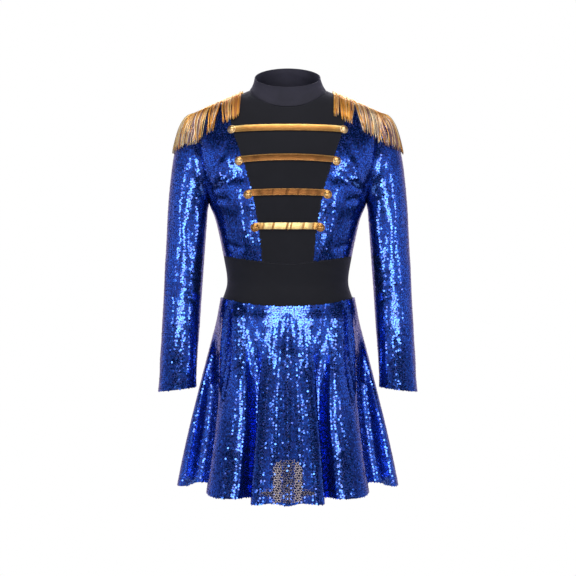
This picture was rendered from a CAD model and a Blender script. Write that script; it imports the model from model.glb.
# %% [markdown]
# # A circus leotard
#
# The garment is a skirted leotard, filled out as worn with nobody in it. Black jersey makes the
# collar, front panel, midriff band and briefs. Blue sequin cloth makes the side fronts, back,
# sleeves and flared skirt. The shoulders carry gold fringe, and four ribbon bars cross the chest
# with a domed button at each end.
#
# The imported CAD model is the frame: it fixes where each piece is. This script makes a finer
# piece for each of its nodes, with creases, sequins, stitches and threads. Lengths in the tables
# are in millimetres, as a maker writes them, and are turned to metres where they are used.

# %% Load the frame
import math

import bpy
import numpy as np
from mathutils import Matrix, Vector
from mathutils.bvhtree import BVHTree


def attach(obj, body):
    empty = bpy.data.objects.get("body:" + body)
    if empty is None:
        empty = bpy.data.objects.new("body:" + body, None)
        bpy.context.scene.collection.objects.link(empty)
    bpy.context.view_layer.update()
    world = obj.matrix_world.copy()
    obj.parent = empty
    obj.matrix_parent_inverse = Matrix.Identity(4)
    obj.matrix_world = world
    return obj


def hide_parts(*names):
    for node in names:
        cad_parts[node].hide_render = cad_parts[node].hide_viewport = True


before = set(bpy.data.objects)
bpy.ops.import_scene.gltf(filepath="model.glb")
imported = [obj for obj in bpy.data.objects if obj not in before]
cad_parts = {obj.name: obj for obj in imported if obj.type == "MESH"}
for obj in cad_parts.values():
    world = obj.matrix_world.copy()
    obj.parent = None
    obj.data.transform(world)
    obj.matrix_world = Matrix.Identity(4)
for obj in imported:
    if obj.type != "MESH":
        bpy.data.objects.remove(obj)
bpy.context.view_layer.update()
MM = 0.001
FRONT, BACK = -1, 1

# %% [markdown]
# ## Camera, floor and light
#
# A product photograph is taken from a few metres away, so that the garment is hardly distorted.
# The camera stands 3 m in front, level with the hips. Each sequin is a small mirror, so what
# stands in the room matters more than how much light there is. A big softbox behind the camera
# gives pale glints to the sequins that face it, one above lights the folds' upper sides, a
# narrow one on each side draws the edges, and one at the back does the same for the back. Single
# spot lamps would be simpler, but they show in the sequins as a few hard sparks.

# %% Camera
CAMERA_AWAY = 3.0
CAMERA_ASIDE = 0.5 * MM
CAMERA_HEIGHT = -0.394
SENSOR = 36.0
PIXELS = 576
PIXEL_SIZE = 2.0 * MM  # one pixel of the picture at the garment's middle

scene = bpy.context.scene
camera_data = bpy.data.cameras.new("camera")
camera_data.sensor_width = SENSOR
camera_data.lens = SENSOR * CAMERA_AWAY / (PIXELS * PIXEL_SIZE)
camera = bpy.data.objects.new("camera", camera_data)
camera.location = (CAMERA_ASIDE, -CAMERA_AWAY, CAMERA_HEIGHT)
camera.rotation_euler = (math.pi / 2, 0, 0)
scene.collection.objects.link(camera)
scene.camera = camera
scene.view_settings.view_transform = "Standard"
print("lens:", round(camera_data.lens, 2), "mm")


# %% Colours and nodes
def linear(code):
    """A colour as red, green, blue and 1, from its sRGB hex code."""
    parts = [int(code[i : i + 2], 16) / 255 for i in (1, 3, 5)]
    return (*[c / 12.92 if c <= 0.04045 else ((c + 0.055) / 1.055) ** 2.4 for c in parts], 1.0)


def feed(tree, node, inputs):
    """Sets inputs of a node, by name or number, to a value or to another node's output."""
    for key, value in inputs.items():
        if isinstance(value, bpy.types.NodeSocket):
            tree.links.new(value, node.inputs[key])
        else:
            node.inputs[key].default_value = value


def put(tree, kind, inputs=None, ramp=None, **settings):
    """Adds a node with its settings, its inputs and the stops of its colour ramp."""
    made = tree.nodes.new(kind)
    for name, value in settings.items():
        setattr(made, name, value)
    feed(tree, made, inputs or {})
    for (at, code), stop in zip(ramp or [], ramp_stops(made, len(ramp or []))):
        stop.position, stop.color = at, linear(code)
    return made


def ramp_stops(made, count):
    """The stops of a colour ramp, as many as asked for."""
    if not count:
        return []
    stops = made.color_ramp.elements
    while len(stops) < count:
        stops.new(1.0)
    return list(stops)


print("mid grey #808080 is", round(linear("#808080")[0], 3), "in linear light")

# %% Softboxes
# Each softbox: width, height, place, the point that it faces, and how bright its cloth looks
SOFTBOXES = {
    "softbox_behind_camera": (1.7, 1.45, (0, -3.6, -0.36), (0, 0, -0.4), 5.6),
    "softbox_above": (2.6, 1.0, (0, -1.4, 2.2), (0, 0, -0.2), 6.8),
    "softbox_left": (0.45, 1.1, (2.3, -2.1, -0.6), (0, 0, -0.3), 5.5),
    "softbox_right": (0.45, 1.1, (-2.3, -2.1, -0.6), (0, 0, -0.3), 5.5),
    "softbox_back": (1.8, 1.4, (0, 2.8, 1.9), (0, 0, -0.4), 9.0),
}
for name, (width, height, place, target, radiance) in SOFTBOXES.items():
    lamp = bpy.data.lights.new(name, "AREA")
    lamp.shape, lamp.size, lamp.size_y = "RECTANGLE", width, height
    lamp.energy = radiance * math.pi * width * height
    holder = bpy.data.objects.new(name, lamp)
    holder.location = place
    holder.rotation_euler = (Vector(target) - Vector(place)).to_track_quat("-Z", "Y").to_euler()
    scene.collection.objects.link(holder)
print("softboxes:", len(SOFTBOXES))

# %% [markdown]
# ## The room
#
# Behind the garment the camera sees plain white. The sequins mirror the rest of the room, and a
# white room would wash out their blue. So the room has two looks: white for the camera itself,
# and for everything else a soft bluish band of light that is brightest level with the garment. A
# taller, pinker band stands behind, as a backdrop does, and its light runs round the sides.

# %% Room
# Slope up or down where a band's light starts to fade and where it is gone, and how bright it is
# before and after
FRONT_BAND = (0.08, 0.34, 1.05, 0.04)
BACKDROP_BAND = (0.3, 0.75, 0.8, 0.05)

world = bpy.data.worlds.new("studio")
scene.world = world
world.use_nodes = True
room = world.node_tree
room.nodes.clear()
rays = put(room, "ShaderNodeLightPath")
aim = put(room, "ShaderNodeTexCoord")
aim_parts = put(room, "ShaderNodeSeparateXYZ", {0: aim.outputs["Generated"]})
slope = put(room, "ShaderNodeMath", {0: aim_parts.outputs[2]}, operation="ABSOLUTE")
in_front, backdrop = [
    put(room, "ShaderNodeMapRange", {0: slope.outputs[0], **dict(enumerate(band, 1))}).outputs[0]
    for band in (FRONT_BAND, BACKDROP_BAND)
]
behind = put(room, "ShaderNodeMapRange", {0: aim_parts.outputs[1], 1: 0.1, 2: 0.7, 3: 0.0, 4: 1.0})
strength = put(room, "ShaderNodeMix", {0: behind.outputs[0], 2: in_front, 3: backdrop}, data_type="FLOAT")
hue = put(
    room,
    "ShaderNodeMix",
    {0: behind.outputs[0], 6: linear("#a6bef2"), 7: linear("#d8c4e4")},
    data_type="RGBA",
)
seen = put(room, "ShaderNodeBackground", {"Color": linear("#ffffff"), "Strength": 1.0})
dim = put(room, "ShaderNodeBackground", {"Color": hue.outputs[2], "Strength": strength.outputs[0]})
both = put(
    room,
    "ShaderNodeMixShader",
    {0: rays.outputs["Is Camera Ray"], 1: dim.outputs[0], 2: seen.outputs[0]},
)
put(room, "ShaderNodeOutputWorld", {"Surface": both.outputs[0]})
print("nodes in the room's light:", len(room.nodes))

# %% Floor
FLOOR_Z = -1.35
FLOOR_RADIUS = 1.8
FLOOR_SIDES = 96
paper = bpy.data.materials.new("matt white paper")
paper.use_nodes = True
# A paper backdrop has a matt, slightly uneven surface: fibres about 1 mm long
grain = put(paper.node_tree, "ShaderNodeTexNoise", {"Scale": 900.0, "Detail": 3.0})
relief = put(
    paper.node_tree, "ShaderNodeBump", {"Strength": 0.1, "Distance": 0.0002, "Height": grain.outputs[0]}
)
look = {"Base Color": linear("#f2f2f2"), "Roughness": 0.9, "Normal": relief.outputs[0]}
feed(paper.node_tree, paper.node_tree.nodes["Principled BSDF"], look)
turns = [2 * math.pi * k / FLOOR_SIDES for k in range(FLOOR_SIDES)]
floor_mesh = bpy.data.meshes.new("floor")
floor_mesh.from_pydata(
    [(FLOOR_RADIUS * math.cos(a), FLOOR_RADIUS * math.sin(a), FLOOR_Z) for a in turns],
    [],
    [list(range(FLOOR_SIDES))],
)
floor_mesh.materials.append(paper)
floor = bpy.data.objects.new("floor", floor_mesh)
scene.collection.objects.link(floor)
print("floor:", 2 * FLOOR_RADIUS, "m across, at", FLOOR_Z)

# %% [markdown]
# ## The figure under the cloth
#
# Nobody wears the garment, but it has the shape of a general figure. The cloth could be draped by
# a simulation over a dress form, but these cloths fit closely, so a few tables of widths and
# depths give the same form with exact seams. The tables are those of the CAD part, so every
# piece lies where its solid is.

# %% Sizes
SEAM_GAP = 0.3 * MM
KNIT, COLLAR_KNIT = 1.2 * MM, 2.0 * MM
SEQUIN_CLOTH, SKIRT_CLOTH = 1.2 * MM, 1.4 * MM  # the sequins stand on it and make up the rest
# height, half width, depth of the front, depth of the back
TORSO = [
    (-460, 140, 98, 92),
    (-421, 131.5, 98, 88),
    (-384, 121, 93, 81),
    (-336, 127, 98, 84),
    (-288, 136.5, 104, 90),
    (-254, 145, 108, 93.5),
    (-222, 157, 112, 97),
    (-160, 157, 112, 101),
    (-90, 157, 110, 101),
    (60, 157, 108, 98),
]
SECTION_POWER, SHOULDER_POWER = 2.4, 2.2
CHEST_Z = -170 * MM
NECK_X, NECK_FRONT_DROP, NECK_BACK_RISE, NAPE_TOP = 76 * MM, 40 * MM, 14 * MM, 52 * MM
SHOULDER_X, SHOULDER_DROP = 188 * MM, 49 * MM
ARMPIT_X, ARMPIT_Z = 157 * MM, -222 * MM
ARMHOLE_SHARE, ARMHOLE_BEND, NECKLINE_BEND = 0.5, 1.2, 0.7
BODICE_SIDE_Z, BODICE_DIP, BODICE_DIP_BEND = -330 * MM, 16 * MM, 1.5
BODICE_BOTTOM_X = 127 * MM
# height and half width of the black front panel
PANEL_EDGE = [
    (-342, 50),
    (-291, 55),
    (-222, 66),
    (-180, 77),
    (-127, 94),
    (-95, 105),
    (-55, 115),
    (-21, 124),
]
SKIRT_TOP_Z, SKIRT_DIP, SKIRT_OVERLAP, SKIRT_STAND = -413 * MM, 17 * MM, 6 * MM, 0.3 * MM
print("shoulders:", round(2 * SHOULDER_X / MM), "mm wide, neck:", round(2 * NECK_X / MM), "mm wide")


# %% Curves through tables
def smooth(t):
    return t * t * (3 - 2 * t)


def clamp(t):
    return np.clip(t, 0.0, 1.0)


def lerp(a, b, t):
    return a + (b - a) * t


def through(at, values):
    """A smooth curve through values at the places at, which rise. Values may be numbers or grids."""
    at, values = np.asarray(at, float), np.asarray(values, float)
    last = len(at) - 1
    before, after = np.maximum(np.arange(last + 1) - 1, 0), np.minimum(np.arange(last + 1) + 1, last)
    shape = (-1,) + (1,) * (values.ndim - 1)
    slope = (values[after] - values[before]) / (at[after] - at[before]).reshape(shape)

    def look(x):
        x = np.asarray(x, float)
        i = np.clip(np.searchsorted(at, x, side="right") - 1, 0, last - 1)
        span = at[i + 1] - at[i]
        t = clamp((x - at[i]) / span)
        wide = t.shape + (1,) * (values.ndim - 1)
        t, span = t.reshape(wide), span.reshape(wide)
        bend = t * (1 - t) * span
        straight = lerp(values[i], values[i + 1], smooth(t))
        return straight + bend * ((1 - t) * slope[i] - t * slope[i + 1])

    return look


def column(table, number):
    """A column of a table in millimetres, as a smooth function of its first column."""
    rows = sorted(table)
    return through([row[0] * MM for row in rows], [row[number] * MM for row in rows])


edge_at, side_width = column(PANEL_EDGE, 1), column(TORSO, 1)
front_depth, back_depth = column(TORSO, 2), column(TORSO, 3)
print("waist:", round(2000 * float(side_width(-0.384))), "mm wide")


# %% The figure
def crown(r, power):
    """The height of a rounded form of this power, 1 at its middle and 0 at its edge."""
    return (1 - clamp(np.abs(r)) ** power) ** (1 / power)


def armhole_x(z):
    t = clamp((z - ARMPIT_Z) / (-SHOULDER_DROP - ARMPIT_Z))
    return lerp(ARMPIT_X, SHOULDER_X, t**ARMHOLE_BEND)


def half_width(z):
    t = clamp((z - ARMPIT_Z) / ((-SHOULDER_DROP - ARMPIT_Z) / 2))
    above = armhole_x(z) / crown(ARMHOLE_SHARE * crown(1 - t, 2), SECTION_POWER)
    return np.where(z <= ARMPIT_Z, side_width(z), above)


def neck_shape(x):
    return clamp(1 - (x / NECK_X) ** 2) ** NECKLINE_BEND


def ridge(x, side):
    """Height at which the front or back closes over x: the shoulder seam, or over the neck."""
    out = np.abs(x)
    seam = -(out - NECK_X) * SHOULDER_DROP / (SHOULDER_X - NECK_X)
    return np.where(out >= NECK_X, seam, NAPE_TOP * neck_shape(x) if side == BACK else 0.0)


def top_edge(x, side):
    neckline = (-NECK_FRONT_DROP if side == FRONT else NECK_BACK_RISE) * neck_shape(x)
    return np.where(np.abs(x) >= NECK_X, ridge(x, side), neckline)


def bodice_bottom(x, side):
    if side == BACK:
        return BODICE_SIDE_Z + 0.0 * x
    out = clamp(np.abs(x) / BODICE_BOTTOM_X)
    return BODICE_SIDE_Z - BODICE_DIP * (1 - out**BODICE_DIP_BEND)


def skirt_top(u, side):
    return SKIRT_TOP_Z - (SKIRT_DIP * clamp(1 - u * u) if side == FRONT else 0.0 * u)


def bodice_edge_x(z):
    return np.where(z <= ARMPIT_Z, half_width(z), armhole_x(z))


def on_body(x, z, side):
    """Points of the figure at these widths and heights."""
    x, z = np.broadcast_arrays(np.asarray(x, float), np.asarray(z, float))
    depth = front_depth(z) if side == FRONT else back_depth(z)
    rise = np.maximum(0, (z - CHEST_Z) / (ridge(x, side) - CHEST_Z))
    y = depth * crown(x / half_width(z), SECTION_POWER) * crown(rise, SHOULDER_POWER)
    return np.stack([x, side * y, z], axis=-1)


chest_front, chest_back = on_body(0, CHEST_Z, FRONT)[1], on_body(0, CHEST_Z, BACK)[1]
print("chest:", round((chest_back - chest_front) / MM), "mm deep")


# %% [markdown]
# ## Creases
#
# Close-fitting stretch cloth shows a few soft troughs where it is pulled between two points:
# from the armpit to the bust, at the bend of the elbow and at the sides of the waist. A cloth
# simulation makes such creases by chance. Here each is placed by hand as a line with its own
# width, depth and bow, which follows the photograph and keeps the seams shut.


# %% Crease function
CREASE_TAPER = 0.7  # below 1, a crease keeps its depth nearly to its ends


def creases(a, b, marks):
    """Height of the creases at sheet coordinates a, b, in metres. A mark is a start and an end,
    then its width, its depth (below 0 for a trough) and how far its middle bows aside, in mm."""
    total = np.zeros(np.broadcast(a, b).shape)
    for a0, b0, a1, b1, width, depth, bow in marks:
        long = math.hypot(a1 - a0, b1 - b0) * MM
        ahead = ((a1 - a0) * MM / long, (b1 - b0) * MM / long)
        da, db = a - a0 * MM, b - b0 * MM
        along = (da * ahead[0] + db * ahead[1]) / long
        inside = clamp(along)
        aside = db * ahead[0] - da * ahead[1] - 4 * bow * MM * inside * (1 - inside)
        ends = np.sin(np.pi * inside) ** CREASE_TAPER
        total += depth * MM * np.exp(-((aside / (width * MM)) ** 2)) * ends
    return total


# %% Creases of the bodice and band
# Seen from the front: x and z of the start, x and z of the end, width, depth, bow, for the
# wearer's left. The wide one with a depth of 4.5 is the fold that stands beside the bust
FRONT_MARKS = [
    (150, -205, 96, -172, 6, -2.2, 3),
    (152, -222, 104, -232, 7, -1.8, -4),
    (146, -196, 128, -140, 8, 2.4, 4),
    (120, -105, 138, -160, 7, -2.0, -3),
    (92, -185, 74, -350, 20, 4.5, 0),
    (122, -150, 84, -186, 15, -2.4, 4),
    (88, -245, 66, -330, 7, 1.8, 3),
    (105, -250, 92, -325, 8, -1.5, -4),
    (122, -262, 112, -325, 5, 1.2, 2),
    (128, -300, 84, -318, 5, -1.2, 3),
    (126, -352, 88, -360, 7, -0.8, 2),
    (121, -384, 74, -378, 8, -1.0, -3),
    (126, -404, 92, -398, 6, -0.7, 2),
    (10, -46, 44, -38, 6, -0.8, 3),
]
BACK_MARKS = [
    (150, -210, 92, -180, 7, -2.2, 4),
    (152, -228, 98, -246, 8, -1.6, -4),
    (140, -180, 118, -110, 8, 2.0, 4),
    (132, -292, 76, -306, 6, -1.6, 4),
    (130, -318, 88, -322, 5, -1.2, -2),
    (22, -120, 12, -270, 9, -1.6, 4),
    (124, -362, 74, -370, 8, -1.1, 3),
    (122, -392, 62, -384, 7, -0.9, -3),
]


def mirrored_marks(marks):
    return marks + [(-a0, b0, -a1, b1, w, d, -bow) for a0, b0, a1, b1, w, d, bow in marks]


print("creases: front", 2 * len(FRONT_MARKS), "back", 2 * len(BACK_MARKS))

# %% Cloth on the figure
SIDE_FADE, ARMHOLE_FADE = 30 * MM, 12 * MM  # creases end this far from those seams


def cloth_at(x, z, side):
    """Points of the cloth: the figure's, moved along its normal by the creases, which fade out
    towards the seams at the sides, shoulders and armholes."""
    p = on_body(x, z, side)
    e = 0.5 * MM
    along = on_body(p[..., 0] + e, p[..., 2], side) - on_body(p[..., 0] - e, p[..., 2], side)
    up = on_body(p[..., 0], p[..., 2] + e, side) - on_body(p[..., 0], p[..., 2] - e, side)
    normal = np.cross(along, up) * -side
    normal /= np.maximum(np.linalg.norm(normal, axis=-1, keepdims=True), 1e-12)
    fade = smooth(clamp(np.abs(p[..., 1]) / SIDE_FADE))
    fade = fade * smooth(clamp((bodice_edge_x(p[..., 2]) - np.abs(p[..., 0])) / ARMHOLE_FADE))
    marks = mirrored_marks(FRONT_MARKS if side == FRONT else BACK_MARKS)
    height = creases(p[..., 0], p[..., 2], marks) * fade
    return p + normal * height[..., None]


middle_of_chest = cloth_at(0, CHEST_Z, FRONT)
print("front of the chest at", [round(float(v) / MM, 1) for v in middle_of_chest], "mm")


# %% [markdown]
# ## From a grid of points to a piece of cloth
#
# A flat cut becomes a grid of points: columns across and rows up. The grid is the outer face, and
# a second one inside it gives the cloth its thickness, with a rim between them. Blender's
# Solidify would do this too. Doing it here lets the rim of each piece stop at its seam.


# %% Grids
def steps_towards(a, b, length):
    d = b - a
    return d / np.maximum(np.linalg.norm(d, axis=-1, keepdims=True), 1e-12) * length


def inset(grid, sides=True, ends=True):
    """Moves the grid's outline in by half a seam gap."""
    made, half = grid.copy(), SEAM_GAP / 2
    if sides:
        made[:, 0] += steps_towards(grid[:, 0], grid[:, 1], half)
        made[:, -1] += steps_towards(grid[:, -1], grid[:, -2], half)
    if ends:
        made[0] += steps_towards(grid[0], grid[1], half)
        made[-1] += steps_towards(grid[-1], grid[-2], half)
    return made


def normals_of(grid, closed=False):
    """Outward normals of a grid with columns anticlockwise from above and rows that run up."""
    if closed:
        along = np.roll(grid, -1, axis=1) - np.roll(grid, 1, axis=1)
    else:
        along = np.gradient(grid, axis=1)
    up = np.gradient(grid, axis=0)
    n = np.cross(along, up)
    return n / np.maximum(np.linalg.norm(n, axis=-1, keepdims=True), 1e-12)


def lengths_along(grid, axis):
    """Distance of each point from the first one of its row or column."""
    d = np.linalg.norm(np.diff(grid, axis=axis), axis=-1)
    start = np.zeros_like(np.take(d, [0], axis=axis))
    return np.cumsum(np.concatenate([start, d], axis=axis), axis=axis)


# %% Walls
def quads(rows, columns, closed=False, first=0, flip=False):
    """Faces between neighbouring points of a grid whose points are numbered from first."""
    i, j = np.meshgrid(np.arange(rows - 1), np.arange(columns if closed else columns - 1), indexing="ij")
    k = (j + 1) % columns
    faces = np.stack([i * columns + j, i * columns + k, (i + 1) * columns + k, (i + 1) * columns + j], -1)
    faces = faces.reshape(-1, 4) + first
    return faces[:, ::-1] if flip else faces


def wall(grid, thickness, closed=False, across=None, normals=None):
    """Points, faces and flat coordinates of a cloth wall, which goes inwards from the grid.
    across is a mask of points at a seam, with the axis that the seam crosses."""
    rows, columns = grid.shape[:2]
    outward = (normals_of(grid, closed) if normals is None else normals).copy()
    for mask, axis in across or []:
        outward[mask, axis] = 0
    outward /= np.maximum(np.linalg.norm(outward, axis=-1, keepdims=True), 1e-12)
    inner = grid - outward * thickness
    n = rows * columns
    faces = [quads(rows, columns, closed), quads(rows, columns, closed, n, True)]
    bottom, top = np.arange(columns), np.arange(columns) + (rows - 1) * columns
    for line, turned in ((bottom, True), (top, False)):
        a, b = (line, np.roll(line, -1)) if closed else (line[:-1], line[1:])
        rim = np.stack([a, b, b + n, a + n], -1)
        faces.append(rim[:, ::-1] if turned else rim)
    if not closed:
        left, right = np.arange(rows) * columns, np.arange(rows) * columns + columns - 1
        faces.append(np.stack([left[:-1], left[1:], left[1:] + n, left[:-1] + n], -1))
        faces.append(np.stack([right[:-1], right[:-1] + n, right[1:] + n, right[1:]], -1))
    u = lengths_along(grid, 1)
    v = lengths_along(grid, 0)
    flat = np.stack([u - u.mean(axis=1, keepdims=True), v], -1).reshape(-1, 2)
    points = np.concatenate([grid.reshape(-1, 3), inner.reshape(-1, 3)])
    return points, np.concatenate(faces), np.concatenate([flat, flat])


def mirrored(made):
    """The same piece on the other side of the body."""
    points, faces, flat = made
    return points * [-1, 1, 1], faces[:, ::-1], flat


print("a grid of 3 rows of 4 points has", len(quads(3, 4)), "faces, closed", len(quads(3, 4, True)))


# %% Objects
def mesh_object(name, made, material=None, smooth_below=50):
    """A Blender object from points, faces and flat coordinates, which become its UV map."""
    points, faces, flat = made
    mesh = bpy.data.meshes.new(name)
    mesh.from_pydata(points.tolist(), [], faces.tolist())
    if flat is not None:
        layer = mesh.uv_layers.new(name="cloth")
        corners = np.zeros(len(mesh.loops), np.int32)
        mesh.loops.foreach_get("vertex_index", corners)
        layer.data.foreach_set("uv", np.asarray(flat, np.float32)[corners].ravel())
    mesh.shade_smooth()
    mesh.set_sharp_from_angle(angle=math.radians(smooth_below))
    if material is not None:
        mesh.materials.append(material)
    made_object = bpy.data.objects.new(name, mesh)
    scene.collection.objects.link(made_object)
    return made_object


shown = []


def dress(piece, nodes=()):
    """The piece rides with the garment, stands for its CAD nodes and takes their finish."""
    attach(piece, "root")
    if nodes:
        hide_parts(*nodes)
    shown.append(piece)
    return piece


# %% Width, length and area
def cut_of(grid, closed=False):
    """Width, length and area of a grid of cloth along its own surface, in metres."""
    if closed:
        grid = np.concatenate([grid, grid[:, :1]], axis=1)
    across = lengths_along(grid, 1)[:, -1]
    up = lengths_along(grid, 0)[-1]
    a, b, c, d = grid[:-1, :-1], grid[:-1, 1:], grid[1:, 1:], grid[1:, :-1]
    lower, upper = np.cross(b - a, c - a), np.cross(c - a, d - a)
    area = (np.linalg.norm(lower, axis=-1) + np.linalg.norm(upper, axis=-1)).sum() / 2
    return float(across.max()), float(up.max()), float(area)


def tell_size(name, grid, closed=False):
    width, length, area = cut_of(grid, closed)
    print(f"{name}, as worn: {width:.3f} x {length:.3f} m, {area:.4f} m2")


# %% [markdown]
# ## Black jersey
#
# The black pieces are a nylon and elastane jersey: fine loops in upright wales, matt, with a
# faint lilac sheen where it turns away. The wales are really 0.5 mm apart, too fine to show, so
# they are drawn 1.2 mm apart. A picture of cloth would need a file; a knit pattern is two waves.


# %% Jersey
def flat_coordinates(tree, scale_u, scale_v):
    """u and v of the cloth map, in pattern repeats."""
    spot = put(tree, "ShaderNodeUVMap", uv_map="cloth")
    apart = put(tree, "ShaderNodeSeparateXYZ", {0: spot.outputs[0]})
    u = put(tree, "ShaderNodeMath", {0: apart.outputs[0], 1: scale_u}, operation="MULTIPLY")
    v = put(tree, "ShaderNodeMath", {0: apart.outputs[1], 1: scale_v}, operation="MULTIPLY")
    return u.outputs[0], v.outputs[0]


def new_material(name):
    """A material, its node tree and its shader."""
    material = bpy.data.materials.new(name)
    material.use_nodes = True
    return material, material.node_tree, material.node_tree.nodes["Principled BSDF"]


def jersey(name, low, high, pitch):
    """pitch is the distance between wales in mm. The colour wanders over 70 mm, as dye does."""
    material, tree, shader = new_material(name)
    u, v = flat_coordinates(tree, 1000 / pitch, 1000 / (0.8 * pitch))
    lean = put(tree, "ShaderNodeMath", {0: u, 1: 1.0}, operation="PINGPONG")
    loop = put(tree, "ShaderNodeMath", {0: lean.outputs[0], 1: v}, operation="ADD")
    turn = put(tree, "ShaderNodeMath", {0: loop.outputs[0], 1: math.pi}, operation="MULTIPLY")
    rib = put(tree, "ShaderNodeMath", {0: turn.outputs[0]}, operation="SINE")
    high_rib = put(tree, "ShaderNodeMath", {0: rib.outputs[0], 1: lean.outputs[0]}, operation="ADD")
    spot = put(tree, "ShaderNodeTexCoord")
    patches = put(
        tree,
        "ShaderNodeTexNoise",
        {"Vector": spot.outputs["Object"], "Scale": 14.0, "Detail": 4.0, "Roughness": 0.6},
    )
    colour = put(tree, "ShaderNodeValToRGB", {0: patches.outputs[0]}, ramp=[(0.3, low), (0.75, high)])
    relief = put(
        tree, "ShaderNodeBump", {"Strength": 0.35, "Distance": 0.0002, "Height": high_rib.outputs[0]}
    )
    look = {
        "Base Color": colour.outputs[0], "Normal": relief.outputs[0], "Roughness": 0.82,
        "Specular IOR Level": 0.3, "Sheen Weight": 0.22, "Sheen Roughness": 0.45,
        "Sheen Tint": linear("#b9b4cc"),
    }
    feed(tree, shader, look)
    return material


# Matt black: what shows is its soft sheen, a little lighter on the doubled collar, which is
# stretched less and so shows more of its fibre
WALES_APART = 1.2
black_jersey = jersey("black nylon elastane jersey", "#0d0c10", "#131217", WALES_APART)
collar_jersey = jersey("black jersey doubled for the collar", "#25232a", "#322f3a", WALES_APART)
print("jerseys:", black_jersey.name, "and", collar_jersey.name)

# %% [markdown]
# ## Blue sequin cloth
#
# Sequin cloth is a stretch mesh with thousands of flat round spangles sewn on it. They are
# punched from metallised blue film with a clear lacquer, and each hangs at its own slant, so the
# cloth reads as deep blue with patches of pale glints. A picture on a smooth surface can't do
# that in every view, so each spangle here is a real disc, set by Geometry Nodes.
#
# The real spangles are about 3 mm wide and overlap like scales. One pixel of the picture is 2 mm,
# so these are 3.8 mm wide, and the ground between them carries the look of the ones below.


# %% Ground mesh and spangles
LOWER_SPANGLES_APART = 3.4


def ground_mesh():
    """The dyed mesh between the spangles. Its cells stand for the spangles that lie under: bright
    in the middle and dark where one slips below the next."""
    material, tree, shader = new_material("blue power mesh under spangles")
    spot = put(tree, "ShaderNodeTexCoord")
    cells = put(
        tree,
        "ShaderNodeTexVoronoi",
        {"Vector": spot.outputs["Object"], "Scale": 1000 / LOWER_SPANGLES_APART},
        feature="F1",
    )
    colour = put(
        tree,
        "ShaderNodeValToRGB",
        {0: cells.outputs["Distance"]},
        ramp=[(0.15, "#1c3c96"), (0.55, "#182c74"), (0.8, "#181a4c")],
    )
    relief = put(
        tree, "ShaderNodeBump", {"Strength": 0.5, "Distance": 0.0004, "Height": cells.outputs["Color"]}
    )
    look = {
        "Base Color": colour.outputs[0], "Normal": relief.outputs[0], "Metallic": 0.5, "Roughness": 0.42
    }
    feed(tree, shader, look)
    return material


def spangle_film():
    """Metallised film: royal blue, a few spangles a shade darker or paler, under clear lacquer."""
    material, tree, shader = new_material("blue metallised film spangles")
    shade = put(tree, "ShaderNodeAttribute", attribute_name="shade")
    colour = put(
        tree,
        "ShaderNodeValToRGB",
        {0: shade.outputs["Fac"]},
        ramp=[(0.0, "#08348e"), (0.5, "#0c52bc"), (1.0, "#2270dc")],
    )
    look = {
        "Base Color": colour.outputs[0], "Metallic": 0.95, "Roughness": 0.13,
        "Coat Weight": 1.0, "Coat Roughness": 0.1, "Coat IOR": 1.62,
    }
    feed(tree, shader, look)
    return material


def plain_thread(name, low, high, rough):
    """Dull yarn whose colour wanders over about 3 mm."""
    material, tree, shader = new_material(name)
    spot = put(tree, "ShaderNodeTexCoord")
    patches = put(
        tree, "ShaderNodeTexNoise", {"Vector": spot.outputs["Object"], "Scale": 320.0, "Detail": 2.0}
    )
    colour = put(tree, "ShaderNodeValToRGB", {0: patches.outputs[0]}, ramp=[(0.3, low), (0.7, high)])
    relief = put(
        tree, "ShaderNodeBump", {"Strength": 0.4, "Distance": 0.0002, "Height": patches.outputs[0]}
    )
    look = {"Base Color": colour.outputs[0], "Normal": relief.outputs[0], "Roughness": rough}
    feed(tree, shader, look)
    return material


blue_mesh, blue_film = ground_mesh(), spangle_film()
bare_mesh = plain_thread("bare mesh ground", "#0c0d2a", "#1e1e44", 0.8)
net_yarn = plain_thread("pale netting yarn", "#b4a0a0", "#e4d4ce", 0.7)
print("sequin cloth:", blue_mesh.name, "and", blue_film.name)


# %% Start and end of a node tree
def new_tree(name, **inputs):
    """A node tree with named inputs, and its input node's outputs. A number is a length or an
    angle and its default, and a whole number a seed."""
    tree = bpy.data.node_groups.new(name, "GeometryNodeTree")
    socket = tree.interface.new_socket
    socket("Geometry", in_out="INPUT", socket_type="NodeSocketGeometry")
    kinds = {float: "NodeSocketFloat", int: "NodeSocketInt", type(None): "NodeSocketMaterial"}
    for title, default in inputs.items():
        made = socket(title, in_out="INPUT", socket_type=kinds[type(default)])
        if default is not None:
            made.default_value = default
    socket("Geometry", in_out="OUTPUT", socket_type="NodeSocketGeometry")
    return tree, put(tree, "NodeGroupInput").outputs


def end_tree(tree, geometry, material):
    """Instances become real faces, which the export needs, and get their material."""
    real = put(tree, "GeometryNodeRealizeInstances", {"Geometry": geometry})
    finish = put(tree, "GeometryNodeSetMaterial", {"Geometry": real.outputs[0], "Material": material})
    put(tree, "NodeGroupOutput", {0: finish.outputs[0]})
    return tree


print("node trees so far:", len(bpy.data.node_groups))

# %% Spangle nodes
SPANGLE_CORNERS = 7  # enough for a round look at this size; there are thousands


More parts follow.
